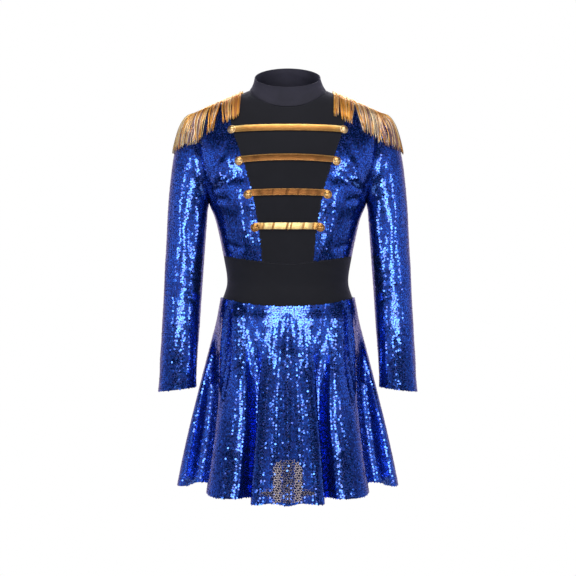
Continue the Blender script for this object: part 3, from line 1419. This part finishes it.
# %% [markdown]
# ## Net threads
#
# Netting is a lattice of threads knitted in six-sided cells. The cells of the real one are about
# 2 mm, too fine to show, so they are drawn 5.2 mm wide, each knot a little out of place. The
# lattice is laid out flat, dropped on the skirt with rays from the front, and Geometry Nodes turn
# its lines into threads. They lie loose and thick beside the middle, and fine elsewhere.


# %% Thread nodes
def thread_tree():
    """Turns the edges of a mesh into round threads."""
    tree, given = new_tree("spin threads", Thickness=0.001, Thread=None)
    line = put(tree, "GeometryNodeMeshToCurve", {"Mesh": given["Geometry"]})
    half = put(tree, "ShaderNodeMath", {0: given["Thickness"], 1: 0.5}, operation="MULTIPLY")
    section = put(tree, "GeometryNodeCurvePrimitiveCircle", {"Resolution": 4, "Radius": half.outputs[0]})
    spun = put(
        tree,
        "GeometryNodeCurveToMesh",
        {"Curve": line.outputs[0], "Profile Curve": section.outputs[0], "Fill Caps": True},
    )
    return end_tree(tree, spun.outputs[0], given["Thread"])


spin_threads = thread_tree()
print("thread nodes:", len(spin_threads.nodes))


# %% Net lattice
def line_object(name, points, edges):
    """A mesh of bare edges, for a tree to work on."""
    mesh = bpy.data.meshes.new(name)
    mesh.from_pydata([tuple(p) for p in points], [tuple(e) for e in edges], [])
    made = bpy.data.objects.new(name, mesh)
    scene.collection.objects.link(made)
    return made


NET_CELL = 5.2 * MM
NET_WANDER, NET_LIFT = 1.3 * MM, 0.5 * MM
NET_MIDDLE_Z = -0.76  # of the rows of cells; only those in the patch are kept
NET_ROWS_EACH_WAY, NET_COLUMNS_EACH_WAY = 60, 30


def net_lattice(surface):
    """Six-sided cells over the patch: points on the skirt and the edges between them."""
    side = NET_CELL / math.sqrt(3)
    points, edges, number = [], [], {}

    def knot(x, z):
        key = (round(x / side * 4), round(z / side * 4))
        if key not in number:
            x_aside = math.sin(key[0] * 12.9 + key[1] * 78.2) * NET_WANDER
            z_aside = math.cos(key[0] * 39.3 + key[1] * 11.1) * NET_WANDER
            start = Vector((x + x_aside, -0.4, z + z_aside))
            spot, normal, _, _ = surface.ray_cast(start, Vector((0, 1, 0)))
            number[key] = len(points)
            points.append(spot + normal * math.copysign(NET_LIFT, -normal.y))
        return number[key]

    for row in range(-NET_ROWS_EACH_WAY, NET_ROWS_EACH_WAY + 1):
        for step in range(-NET_COLUMNS_EACH_WAY, NET_COLUMNS_EACH_WAY + 1):
            x = (step + 0.5 * (row % 2)) * NET_CELL
            z = NET_MIDDLE_Z + row * 1.5 * side
            if not in_patch(np.array(x), np.array(z)):
                continue
            corners = [
                knot(x + side * math.sin(a), z + side * math.cos(a))
                for a in (math.pi / 3 * k for k in range(6))
            ]
            edges += [tuple(sorted((corners[k], corners[(k + 1) % 6]))) for k in range(6)]
    return points, sorted(set(edges))


skirt_surface = BVHTree.FromPolygons(
    front_skirt_grid.reshape(-1, 3).tolist(), quads(*front_skirt_grid.shape[:2]).tolist()
)
net_points, net_edges = net_lattice(skirt_surface)
print("net: knots", len(net_points), "edges", len(net_edges))

# %% Net pieces
NET_THREAD, FINE_SHARE = 1.1 * MM, 0.3
MIDDLE_OUT = 12 * MM  # the threads of the middle, up to here, are fine
edge_out = np.abs([(net_points[a].x + net_points[b].x) / 2 for a, b in net_edges])
beside = (edge_out > MIDDLE_OUT) & (edge_out < NET_ARCH["half_width"])
for name, chosen, thickness in (
    ("net_threads_beside", beside, NET_THREAD),
    ("net_threads_fine", ~beside, NET_THREAD * FINE_SHARE),
):
    used = [edge for edge, use in zip(net_edges, chosen) if use]
    net_lines = line_object(name + "_lines", net_points, used)
    made = run_nodes(net_lines, spin_threads, name, {"Thickness": thickness, "Thread": net_yarn})
    bpy.data.objects.remove(net_lines)
    dress(made)
    print(name, "faces:", len(made.data.polygons))

# A few spangles still hang on: many in the middle, hardly any beside it
in_middle = bare & (np.abs(centres[:, 0]) < MIDDLE_OUT + MM)
strays = [
    spangles(name, front_skirt_grid, seed, faces=front_faces[area], spacing=apart)
    for name, seed, area, apart in (
        ("spangles_left_on_net", 31, in_middle, 3.6 * MM),
        ("spangles_left_beside", 32, bare & ~in_middle, 11 * MM),
    )
]

# %% [markdown]
# ## Ribbon bars
#
# Four bars of gold foil ribbon cross the chest like the braid of a ringmaster's coat. A ribbon
# that is sewn down along its edges bulges a little between them. The upper three catch less
# light and look brown; the lowest is bright, with sharp cross creases where it was folded. A bar
# could be an extruded strip, but it has to lie on the chest, so it is made from the chest's own
# points, moved out.


# %% Gold finishes
def gold_foil_ribbon():
    """Foil printed on stretch ribbon: bright, drawn lengthways, and browner where it is worn."""
    material, tree, shader = new_material("gold foil stretch ribbon")
    tone = put(tree, "ShaderNodeAttribute", attribute_name="shade")
    u, v = flat_coordinates(tree, 1000 / 22, 1000 / 1.1)
    spot = put(tree, "ShaderNodeCombineXYZ", {0: u, 1: v})
    drawn = put(tree, "ShaderNodeTexNoise", {"Vector": spot.outputs[0], "Scale": 1.6, "Detail": 4.0})
    worn = put(tree, "ShaderNodeMath", {0: drawn.outputs[0], 1: 0.5}, operation="SUBTRACT")
    less = put(tree, "ShaderNodeMath", {0: worn.outputs[0], 1: 0.8}, operation="MULTIPLY")
    total = put(tree, "ShaderNodeMath", {0: tone.outputs["Fac"], 1: less.outputs[0]}, operation="ADD")
    colour = put(
        tree,
        "ShaderNodeValToRGB",
        {0: total.outputs[0]},
        ramp=[(0.0, "#643e20"), (0.35, "#a06a38"), (0.65, "#cc9852"), (1.0, "#f8e09a")],
    )
    relief = put(tree, "ShaderNodeBump", {"Strength": 0.3, "Distance": 0.0003, "Height": drawn.outputs[0]})
    look = {
        "Base Color": colour.outputs[0], "Normal": relief.outputs[0], "Metallic": 1.0, "Roughness": 0.38
    }
    feed(tree, shader, look)
    return material


def pressed_brass():
    """Thin brass with a satin gold wash: browner in the groove round the dome."""
    material, tree, shader = new_material("gold washed pressed brass")
    spot = put(tree, "ShaderNodeTexCoord")
    tarnish = put(
        tree, "ShaderNodeTexNoise", {"Vector": spot.outputs["Object"], "Scale": 260.0, "Detail": 4.0}
    )
    row = put(tree, "ShaderNodeAttribute", attribute_name="shade")
    browned = put(tree, "ShaderNodeMath", {0: tarnish.outputs[0], 1: row.outputs["Fac"]}, operation="ADD")
    colour = put(
        tree,
        "ShaderNodeValToRGB",
        {0: browned.outputs[0]},
        ramp=[(0.05, "#8a5426"), (0.3, "#d69c54"), (0.7, "#ffe0a8")],
    )
    rough = put(tree, "ShaderNodeMapRange", {0: tarnish.outputs[0], 3: 0.34, 4: 0.46})
    look = {"Base Color": colour.outputs[0], "Roughness": rough.outputs[0], "Metallic": 1.0}
    feed(tree, shader, look)
    return material


foil, brass = gold_foil_ribbon(), pressed_brass()
print("trims:", foil.name, "and", brass.name)

# %% Bars: shape
# height, how far the ends hang lower, half length, how far the button sits lower still, all in
# mm, and how bright the foil is
BARS = [
    (-83.5, 2.5, 108, 1, 0.44),
    (-141.5, 4.5, 94, 3, 0.18),
    (-208.5, 2, 76, 3, 0.06),
    (-274, 0, 62.5, 2.5, 0.82),
]
BAR_HEIGHT, RIBBON, TRIM_GAP, BULGE = 12.5 * MM, 1.0 * MM, 1.1 * MM, 0.35 * MM
BAR_RIPPLE, CREASE_LEAN = 0.15 * MM, 1.2
# cross creases of each bar: where, how deep and how wide, in mm
BAR_CREASES = {
    2: [(-1, 0.5, 1.6), (22, 0.25, 2.0), (-30, 0.25, 2.0)],
    3: [
        (-28, 0.8, 1.5),
        (-1, 0.9, 1.3),
        (7, 0.6, 1.3),
        (30.5, 0.8, 1.5),
        (-48, 0.4, 2.2),
        (50, 0.4, 2.2),
    ],
}


def bar_grid(number):
    """The ribbon's outer face, a little way off the chest."""
    height, droop, half_span, _, _ = BARS[number]
    u, up = np.meshgrid(np.linspace(-1, 1, 140), np.linspace(-1, 1, 9))
    z = (height - droop * u * u) * MM + up * BAR_HEIGHT / 2
    grid = cloth_at(u * half_span * MM, z, FRONT)
    out = TRIM_GAP + RIBBON + BULGE * (1 - up**2) + BAR_RIPPLE * np.sin(u * 23 + number * 2)
    for x, deep, wide in BAR_CREASES.get(number, []):
        out = out - deep * MM * np.exp(-(((u * half_span - x - CREASE_LEAN * up) / wide) ** 2))
    return grid + normals_of(grid) * out[..., None]


def give_shade(mesh, values):
    """Stores how light each point of a piece is, for its finish to read."""
    attribute = mesh.attributes.new("shade", "FLOAT", "POINT")
    attribute.data.foreach_set("value", np.asarray(values, np.float32))


print("bars:", [f"{2 * half_span:g} mm" for _, _, half_span, _, _ in BARS])

# %% Bars: shades
# How much brighter the foil is at the ends of each bar, along its top edge and in a crease
END_SHADES = (0.22, 0.22, 0.22, -0.3)
TOP_EDGE_SHADE, CREASE_SHADE = 0.25, -0.6

for number, (_, _, _, _, tone) in enumerate(BARS):
    bar = mesh_object(f"ribbon_bar_{number + 1}", wall(bar_grid(number), RIBBON), foil)
    x, z = np.array([(v.co.x, v.co.z) for v in bar.data.vertices]).T / MM
    height, droop, half_span, _, _ = BARS[number]
    share = x / half_span
    up = (z - height + droop * share**2) / (BAR_HEIGHT / MM / 2)
    to_end = clamp((np.abs(share) - 0.72) / 0.2)
    tones = tone + END_SHADES[number] * to_end + TOP_EDGE_SHADE * clamp((up - 0.72) / 0.1)
    for at, deep, wide in BAR_CREASES.get(number, []):
        tones += CREASE_SHADE * deep * np.exp(-(((x - at - CREASE_LEAN * up) / wide) ** 2))
    give_shade(bar.data, tones)
    dress(bar, [f"bar_{number + 1}"])

# %% [markdown]
# ## Buttons
#
# A domed button is one round of thin brass pressed over a form, with a flat rim that is rolled
# under. A sphere and a ring would leave a hard line between them. The whole button is one
# outline turned round the line that points straight out of the cloth.

# %% Button sizes
BUTTON_RADIUS, BUTTON_STAND = 8.5 * MM, 2.4 * MM
BUTTON_SHADES = (0.0, -0.04, -0.16, -0.26)  # browner from the top pair down, as in the photograph
# radius and height of the pressed sheet, as shares of the button's radius
BUTTON_PROFILE = [
    (0.0, 0.0), (0.8, 0.0), (0.92, 0.02), (0.98, 0.07), (1.0, 0.13), (0.98, 0.2), (0.93, 0.245),
    (0.88, 0.25), (0.84, 0.265), (0.82, 0.3), (0.78, 0.36), (0.7, 0.44), (0.6, 0.52), (0.47, 0.6),
    (0.33, 0.655), (0.17, 0.69), (0.0, 0.7),
]  # fmt: skip
BUTTON_SIDES = 40
print("button:", round(2 * BUTTON_RADIUS / MM), "mm wide,", BUTTON_SIDES, "sides")


# %% Button shape
def button(number, side):
    """A turned form that faces straight out of the cloth."""
    height, droop, half_span, drop, _ = BARS[number]
    x, z = np.array(side * half_span * MM), np.array((height - droop - drop) * MM)
    e = MM
    at = cloth_at(x, z, FRONT)
    along = cloth_at(x + e, z, FRONT) - cloth_at(x - e, z, FRONT)
    up = cloth_at(x, z + e, FRONT) - cloth_at(x, z - e, FRONT)
    out = np.cross(along, up)
    out /= np.linalg.norm(out)
    across = along / np.linalg.norm(along)
    upright = np.cross(out, across)
    points, faces = [], []
    for radius, lift in BUTTON_PROFILE[1:-1]:
        for k in range(BUTTON_SIDES):
            a = 2 * math.pi * k / BUTTON_SIDES
            flat = radius * BUTTON_RADIUS * (math.cos(a) * across + math.sin(a) * upright)
            points.append(at + flat + out * (BUTTON_STAND + lift * BUTTON_RADIUS))
    rings, n = len(BUTTON_PROFILE) - 2, BUTTON_SIDES
    points.append(at + out * BUTTON_STAND)
    points.append(at + out * (BUTTON_STAND + BUTTON_PROFILE[-1][1] * BUTTON_RADIUS))
    for k in range(n):
        j = (k + 1) % n
        faces.append((k, len(points) - 2, j))
        faces += [(i * n + k, i * n + j, (i + 1) * n + j, (i + 1) * n + k) for i in range(rings - 1)]
        faces.append(((rings - 1) * n + k, (rings - 1) * n + j, len(points) - 1))
    name = f"button_{number + 1}_{'left' if side > 0 else 'right'}"
    mesh = bpy.data.meshes.new("domed_" + name)
    mesh.from_pydata([tuple(p) for p in points], [], faces)
    mesh.shade_smooth()
    mesh.materials.append(brass)
    give_shade(mesh, np.full(len(points), BUTTON_SHADES[number]))
    made = bpy.data.objects.new("domed_" + name, mesh)
    scene.collection.objects.link(made)
    return dress(made, [name])


buttons = [button(number, side) for number in range(4) for side in (1, -1)]
print("buttons:", len(buttons))

# %% [markdown]
# ## Fringe epaulettes
#
# Bullion fringe is a row of cords, each two plies of shiny rayon twisted tight, that hang from a
# woven tape. The tape is sewn along the shoulder seam and back round its end. The cords lie over
# the shoulder and then hang in three layers, they clump, and they part at one place on the
# chest. Hair curves would be quick, but the cords have to lie on the cloth and be a mesh in the
# end. So the hanging surface is found once with rays, and each cord is then drawn on it. There
# are hundreds, so a cord has four sides, and its twist is in the finish.


# %% Fringe finish
def rayon(name, stops, turns):
    """Shiny twisted yarn: stripes of light and shade wind round the cord."""
    material, tree, shader = new_material(name)
    shade = put(tree, "ShaderNodeAttribute", attribute_name="shade")
    u, v = flat_coordinates(tree, 2.0, turns)
    wound = put(tree, "ShaderNodeMath", {0: u, 1: v}, operation="ADD")
    turn = put(tree, "ShaderNodeMath", {0: wound.outputs[0], 1: 2 * math.pi}, operation="MULTIPLY")
    wave = put(tree, "ShaderNodeMath", {0: turn.outputs[0]}, operation="SINE")
    part = put(tree, "ShaderNodeMath", {0: wave.outputs[0], 1: 0.16}, operation="MULTIPLY")
    total = put(tree, "ShaderNodeMath", {0: shade.outputs["Fac"], 1: part.outputs[0]}, operation="ADD")
    colour = put(tree, "ShaderNodeValToRGB", {0: total.outputs[0]}, ramp=stops)
    relief = put(tree, "ShaderNodeBump", {"Strength": 0.25, "Distance": 0.0003, "Height": wave.outputs[0]})
    look = {
        "Base Color": colour.outputs[0], "Normal": relief.outputs[0], "Metallic": 0.6,
        "Roughness": 0.36, "Sheen Weight": 0.15, "Sheen Roughness": 0.3,
        "Sheen Tint": linear("#ffe2a0"),
    }
    feed(tree, shader, look)
    return material


FRINGE_STOPS = [
    (0.0, "#8f7d8c"),  # a cord in shadow, which mirrors the blue cloth
    (0.25, "#dc8428"),
    (0.5, "#ffb032"),
    (0.75, "#ffd880"),
    (1.0, "#fffaf0"),  # a cord that faces the light
]
TWIST, WEAVE = 3.0, 2.4  # mm of cord for a turn, and of tape for a rib; both coarser than real
TAPE_SHADE = 0.6
fringe_rayon = rayon("gold twisted rayon", FRINGE_STOPS, 1000 / TWIST)
braid = rayon("gold woven rayon tape", [(0.0, "#cf8a1e"), (1.0, "#ffd878")], 1000 / WEAVE)
print("fringe:", fringe_rayon.name, "and", braid.name)

# %% Tape
TAPE = {"inner_x": 90, "turn_x": 176, "half_gap": 7, "width": 8, "thickness": 2, "lift": 2.2}
left_cloth = [(front_grid, False), (side_grid, False), (rear_grid, False), (arm_grid, True)]
cloth_points, cloth_faces = [], []
for grid, closed in left_cloth:
    cloth_faces += quads(*grid.shape[:2], closed, len(cloth_points)).tolist()
    cloth_points += grid.reshape(-1, 3).tolist()
under = BVHTree.FromPolygons(cloth_points, cloth_faces)


def tape_line(offset, count):
    """Along the front of the shoulder seam, round its end and back behind it."""
    radius = (TAPE["half_gap"] + offset) * MM
    inner, end = TAPE["inner_x"] * MM, TAPE["turn_x"] * MM
    a = np.linspace(-np.pi / 2, np.pi / 2, 60)
    line = np.concatenate(
        [
            [[inner, -radius]],
            np.stack([end + radius * np.cos(a), radius * np.sin(a)], -1),
            [[inner, radius]],
        ]
    )
    along = np.concatenate([[0], np.cumsum(np.linalg.norm(np.diff(line, axis=0), axis=1))])
    at = np.linspace(0, along[-1], count)
    return np.stack([np.interp(at, along, line[:, k]) for k in range(2)], -1), along[-1]


def over_cloth(x, y):
    """Height of the cloth at x, y. A second ray beside the first can't miss at the same seam."""
    starts = [Vector((x, y, 0.4)), Vector((x + 0.8 * MM, y + 0.6 * MM, 0.4))]
    tries = [under.ray_cast(start, Vector((0, 0, -1))) for start in starts]
    return max(hit[0].z for hit in tries if hit[0] is not None)


TAPE_STEPS = 160


def tape_wall():
    """The woven tape, a little fuller along its middle."""
    rows = []
    for offset in np.linspace(TAPE["width"], 0, 7):
        line, _ = tape_line(offset, TAPE_STEPS)
        z = [over_cloth(x, y) + (TAPE["lift"] + TAPE["thickness"]) * MM for x, y in line]
        swell = 0.5 * MM * math.sin(math.pi * offset / TAPE["width"])
        rows.append(np.column_stack([line, np.array(z) + swell]))
    return wall(np.array(rows), TAPE["thickness"] * MM)


made_tape = tape_wall()
print("tape faces:", len(made_tape[1]))


# %% Hanging surface
FRINGE_LIFT = 2.0 * MM
FAN = 0.5
HANG_STEP = 1.5 * MM
HANG_STEPS = 72
DROP_STEP, DROP_STEPS = 2 * MM, 60


def hang_from(x, y):
    """Points and normals down the cloth from one point of the tape's edge, evenly spaced."""
    out = np.clip((x - TAPE["inner_x"] * MM) / ((TAPE["turn_x"] - TAPE["inner_x"]) * MM), 0, 1)
    past = max(0.0, x - TAPE["turn_x"] * MM) / max(abs(y), 1e-6)
    away = Vector((FAN * out**2 + past, math.copysign(1.0, y), 0)).normalized()
    top = over_cloth(x, y) + (TAPE["lift"] + 0.6) * MM
    root = Vector((x, y, top))
    spots, outs = [root - away * 4 * MM, root], [Vector((0, 0, 1)), Vector((0, 0, 1))]
    for k in range(1, DROP_STEPS):
        start = root + away * 0.4 - Vector((0, 0, k * DROP_STEP))
        tries = [under.ray_cast(start + Vector((0, 0, higher)), -away) for higher in (0, MM)]
        tries = [hit for hit in tries if hit[0] is not None]
        if not tries:
            continue
        hit = min(tries, key=lambda h: h[3])
        n = hit[1] if hit[1].dot(away) > 0 else -hit[1]
        spot = hit[0] + n * FRINGE_LIFT
        if (spot - root).dot(away) > MM:
            spots.append(spot)
            outs.append(n)
    p, n = np.array(spots), np.array(outs)
    along = np.concatenate([[0], np.cumsum(np.linalg.norm(np.diff(p, axis=0), axis=1))])
    at = np.arange(HANG_STEPS) * HANG_STEP
    return [np.stack([np.interp(at, along, v[:, k]) for k in range(3)], -1) for v in (p, n)]


LINE_SAMPLES = 150
roots, root_length = tape_line(TAPE["width"] - 0.3, LINE_SAMPLES)
hanging = [hang_from(x, y) for x, y in roots]
hang_points = np.array([h[0] for h in hanging])
hang_normals = np.array([h[1] for h in hanging])
for _ in range(3):  # soften the bend from the tape to the hanging part
    for table in (hang_points, hang_normals):
        table[:, 1:-1] = (table[:, :-2] + 2 * table[:, 1:-1] + table[:, 2:]) / 4
        table[1:-1] = (table[:-2] + 2 * table[1:-1] + table[2:]) / 4
print("tape edge:", round(root_length * 1000), "mm long")


# %% Cord places
CORDS, CORD_SIDES, CORD_STEPS = 360, 4, 14
CORD_RADIUS = 0.85 * MM
CORD_LENGTH, CORD_LENGTH_END = 95 * MM, 96 * MM  # in front and behind, and round the tape's end
LAYERS, LAYER_LIFT = 3, 1.3
PARTING, PARTING_REACH, PARTED = 128 * MM, 13 * MM, 10 * MM  # x, and how far the cords move aside


def on_hang(table, s, d):
    """Values of a hanging table at shares s of the tape's edge and distances d down."""
    i = np.clip(s * (LINE_SAMPLES - 1), 0, LINE_SAMPLES - 1.001)
    j = np.clip(d / HANG_STEP, 0, HANG_STEPS - 1.001)
    i0, j0 = i.astype(int), j.astype(int)
    fi, fj = (i - i0)[:, None], (j - j0)[:, None]
    near = table[i0, j0] * (1 - fj) + table[i0, j0 + 1] * fj
    far = table[i0 + 1, j0] * (1 - fj) + table[i0 + 1, j0 + 1] * fj
    return near * (1 - fi) + far * fi


def cord_roots(rng):
    """Shares of the tape's edge: even, with more round its end, where the cords fan out."""
    even = np.linspace(0.003, 0.997, CORDS * 3 // 4)
    at_end = np.linspace(0.36, 0.64, CORDS - len(even))
    return np.concatenate([even, at_end]) + rng.uniform(-0.0015, 0.0015, CORDS)


def cord_way(rng, s0, x0, layer, clump):
    """Points down the middle of a cord, the cloth's normals there, and the distances down it."""
    t = np.linspace(0, 1, CORD_STEPS)
    drift = (clump - s0) * rng.uniform(0.1, 0.6) + rng.normal(0, 1.2 * MM) / root_length
    near_parting = clamp(1 - abs(x0 - PARTING) / PARTING_REACH)
    aside = math.copysign(PARTED, (x0 - PARTING) * (0.5 - s0)) / root_length * near_parting
    at_end = smooth(clamp((0.16 - abs(s0 - 0.5)) / 0.1))
    long = lerp(CORD_LENGTH, CORD_LENGTH_END, at_end) * rng.uniform(0.88, 1.0)
    sway = rng.normal(0, 0.9 * MM) / root_length * np.sin(t * rng.uniform(3, 7) + rng.uniform(0, 6))
    s = np.clip(s0 + drift * t**1.6 + aside * t**2 + sway * t, 0, 1)
    d = t * long
    n = on_hang(hang_normals, s, d)
    n /= np.linalg.norm(n, axis=1, keepdims=True)
    lift = (0.3 + LAYER_LIFT * layer + rng.uniform(0, 0.8)) * MM * np.minimum(1, t / 0.12)
    return on_hang(hang_points, s, d) + n * lift[:, None], n, d


def cord_shades(rng, x0):
    """How light a cord is down its length: mixed tones near the neck, where the cords hang side by
    side, and more contrast at the arm, where they fan out and some face the light."""
    near_neck = rng.uniform(0.2, 0.84)
    tones = [rng.uniform(0.0, 0.12), rng.uniform(0.35, 0.6), rng.uniform(0.75, 1.0)]
    at_arm = rng.choice(tones, p=[0.42, 0.16, 0.42])
    tone = near_neck if rng.uniform() > clamp((x0 - 0.12) / 0.03) else at_arm
    near_tape = 0.52 + 0.45 * (tone - 0.5)
    t = np.linspace(0, 1, CORD_STEPS)
    return lerp(near_tape, tone, smooth(clamp(t / 0.5))) - 0.08 * t


print("cords a shoulder:", CORDS, "up to", round(CORD_LENGTH_END / MM), "mm long")


# %% Cords
def cords(seed):
    """Points, faces, map and shades of all the cords of the wearer's left shoulder."""
    rng = np.random.default_rng(seed)
    clumps = np.sort(rng.uniform(0, 1, 40))
    corner = 2 * np.pi * np.arange(CORD_SIDES) / CORD_SIDES
    right, up = np.cos(corner)[None, :, None], np.sin(corner)[None, :, None]
    narrower_end = np.where(np.linspace(0, 1, CORD_STEPS) > 0.97, 0.6, 1.0)[:, None, None]
    points, faces, flat, shades = [], [], [], []
    for k, s0 in enumerate(np.clip(cord_roots(rng), 0, 1)):
        x0 = on_hang(hang_points, np.array([s0]), np.array([4 * MM]))[0, 0]
        clump = clumps[np.argmin(np.abs(clumps - s0))]
        p, n, d = cord_way(rng, s0, x0, k % LAYERS, clump)
        along = np.gradient(p, axis=0)
        along /= np.linalg.norm(along, axis=1, keepdims=True)
        across = np.cross(along, n)
        across /= np.linalg.norm(across, axis=1, keepdims=True)
        out = np.cross(across, along)
        size = CORD_RADIUS * rng.uniform(0.8, 1.1) * narrower_end
        ring_points = p[:, None] + size * (across[:, None] * right + out[:, None] * up)
        base = len(points) * CORD_STEPS * CORD_SIDES
        points.append(ring_points.reshape(-1, 3))
        faces += quads(CORD_STEPS, CORD_SIDES, True, base, True).tolist()
        faces.append([base + m for m in range(CORD_SIDES)])
        faces.append([base + CORD_STEPS * CORD_SIDES - 1 - m for m in range(CORD_SIDES)])
        around = np.broadcast_to(np.arange(CORD_SIDES) / CORD_SIDES, (CORD_STEPS, CORD_SIDES))
        flat.append(np.stack([around, np.broadcast_to(d[:, None], around.shape)], -1).reshape(-1, 2))
        shades.append(np.repeat(cord_shades(rng, x0), CORD_SIDES))
    return np.concatenate(points), faces, np.concatenate(flat), np.concatenate(shades)


def fringe(side_name, seed, mirror):
    """One shoulder's cords as one mesh."""
    points, faces, flat, shades = cords(seed)
    if mirror:
        points, faces = points * [-1, 1, 1], [f[::-1] for f in faces]
    mesh = bpy.data.meshes.new("fringe_cords_" + side_name)
    mesh.from_pydata(points.tolist(), [], faces)
    corners = np.zeros(len(mesh.loops), np.int32)
    mesh.loops.foreach_get("vertex_index", corners)
    mesh.uv_layers.new(name="cloth").data.foreach_set("uv", flat[corners].astype(np.float32).ravel())
    give_shade(mesh, shades)
    mesh.shade_smooth()
    mesh.materials.append(fringe_rayon)
    made = bpy.data.objects.new("fringe_cords_" + side_name, mesh)
    scene.collection.objects.link(made)
    return dress(made, ["epaulette_" + side_name])


fringe_left, fringe_right = fringe("left", 21, False), fringe("right", 22, True)
print("fringe faces:", len(fringe_left.data.polygons), len(fringe_right.data.polygons))

# %% Tape pieces
tape_left = mesh_object("woven_tape_left", made_tape, braid)
tape_right = mesh_object("woven_tape_right", mirrored(made_tape), braid)
for tape in (tape_left, tape_right):
    give_shade(tape.data, np.full(len(tape.data.vertices), TAPE_SHADE))
    dress(tape)
print("tapes:", tape_left.name, tape_right.name)

# %% [markdown]
# ## Stitches
#
# The collar, panel and band are topstitched beside their seams, and the leg holes have the two
# rows of a twin needle. Gold thread holds the ribbon's edges and the fringe's tape. Each row is a
# line a set distance inside an edge; Geometry Nodes then lay short threads along it, each 2 mm
# long with a gap where the thread dips through the cloth.


# %% Stitch nodes
STITCH_SIDES = 5
STITCH_FACES = STITCH_SIDES + 2


def stitch_tree():
    """Short straight threads in a row along a line."""
    sizes = {"Pitch": 0.003, "Length": 0.002, "Thickness": 0.0005}
    tree, given = new_tree("sew stitches", **sizes, Thread=None)
    line = put(tree, "GeometryNodeMeshToCurve", {"Mesh": given["Geometry"]})
    spots = put(
        tree,
        "GeometryNodeCurveToPoints",
        {"Curve": line.outputs[0], "Length": given["Pitch"]},
        mode="LENGTH",
    )
    half = put(tree, "ShaderNodeMath", {0: given["Thickness"], 1: 0.5}, operation="MULTIPLY")
    thread = put(
        tree,
        "GeometryNodeMeshCylinder",
        {"Vertices": STITCH_SIDES, "Radius": half.outputs[0], "Depth": given["Length"]},
        fill_type="NGON",
    )
    places = {"Points": spots.outputs["Points"], "Rotation": spots.outputs["Rotation"]}
    sewn = put(tree, "GeometryNodeInstanceOnPoints", {**places, "Instance": thread.outputs[0]})
    return end_tree(tree, sewn.outputs[0], given["Thread"])


sew_stitches = stitch_tree()
print("stitch nodes:", len(sew_stitches.nodes))


# %% Rows of stitches
def inside_edge(grid, edge, distance, lift, closed=False):
    """The line on a cloth that runs inside its bottom, top, start or end edge."""
    outer = grid + normals_of(grid, closed) * lift
    if edge in ("start", "end"):
        outer = outer.transpose(1, 0, 2)
    if edge in ("top", "end"):
        outer = outer[::-1]
    down = lengths_along(outer, 0)
    return np.array(
        [[np.interp(distance, down[:, j], outer[:, j, k]) for k in range(3)] for j in range(outer.shape[1])]
    )


def sew(name, lines, thread):
    """One piece with the stitches of several lines. A line is its points, and whether it closes."""
    points, edges = [], []
    for line, closed in lines:
        first = len(points)
        points += line.tolist()
        edges += [(first + k, first + k + 1) for k in range(len(line) - 1)]
        if closed:
            edges.append((first + len(line) - 1, first))
    rows = line_object(name + "_rows", points, edges)
    made = run_nodes(rows, sew_stitches, name, {**STITCH, "Thread": thread})
    bpy.data.objects.remove(rows)
    print(name, "stitches:", len(made.data.polygons) // STITCH_FACES)
    return dress(made)


# The real thread is about 0.3 mm thick; 0.5 mm is the least that shows
STITCH = {"Pitch": 3.0 * MM, "Length": 2.2 * MM, "Thickness": 0.5 * MM}
black_thread = plain_thread("black polyester thread", "#1b1a20", "#2c2a33", 0.6)
gold_thread = plain_thread("gold polyester thread", "#c08a34", "#e8bc62", 0.5)
print("stitches every", STITCH["Pitch"] / MM, "mm")

# %% Black stitches
HALF_THREAD = 0.2 * MM
HEM_ROWS = (6 * MM, 9 * MM)  # a twin needle's two rows round each leg hole
neckline = np.abs(front_grid[-1, :, 0]) < NECK_X - 2 * MM
black_lines = [
    (inside_edge(neck_grid, "bottom", 2.5 * MM, HALF_THREAD, True), True),
    (inside_edge(front_grid[:, neckline], "top", 3 * MM, HALF_THREAD), False),
    (inside_edge(front_grid, "start", 2.5 * MM, HALF_THREAD), False),
    (inside_edge(front_grid, "end", 2.5 * MM, HALF_THREAD), False),
    (inside_edge(front_band_grid, "top", 2.5 * MM, HALF_THREAD), False),
    (inside_edge(back_band_grid, "top", 2.5 * MM, HALF_THREAD), False),
]
for grid in (front_brief_grid[:HIP_ROW], back_brief_grid[:HIP_ROW]):
    for edge in ("start", "end"):
        for distance in HEM_ROWS:
            black_lines.append((inside_edge(grid, edge, distance, HALF_THREAD), False))
black_stitches = sew("stitches_black", black_lines, black_thread)


# %% Gold stitches
def tape_row(offset, sign):
    """A line along the tape, offset in mm from its inner edge."""
    line, _ = tape_line(offset, TAPE_STEPS)
    z = [over_cloth(x, y) + (TAPE["lift"] + TAPE["thickness"] + 0.4) * MM for x, y in line]
    return np.column_stack([line * [sign, 1], z])


gold_lines = [(tape_row(offset, sign), False) for sign in (1, -1) for offset in (1.6, 6.4)]
for number in range(4):
    for edge in ("bottom", "top"):
        gold_lines.append((inside_edge(bar_grid(number), edge, 1.0 * MM, 0.1 * MM), False))
gold_stitches = sew("stitches_gold", gold_lines, gold_thread)

# %% [markdown]
# ## The cuts
#
# Each cloth piece is declared with the size it was cut to. Stretch cloth is cut narrower than it
# is worn, here by 8 per cent. The skirt isn't stretched: each half is part of a flat ring, whose
# inner arc is the waist and whose outer arc is the hem.


# %% Finish
triangles = [sum(len(face.vertices) - 2 for face in piece.data.polygons) for piece in shown]
print("pieces:", len(shown), "triangles:", sum(triangles), "most in a piece:", max(triangles))
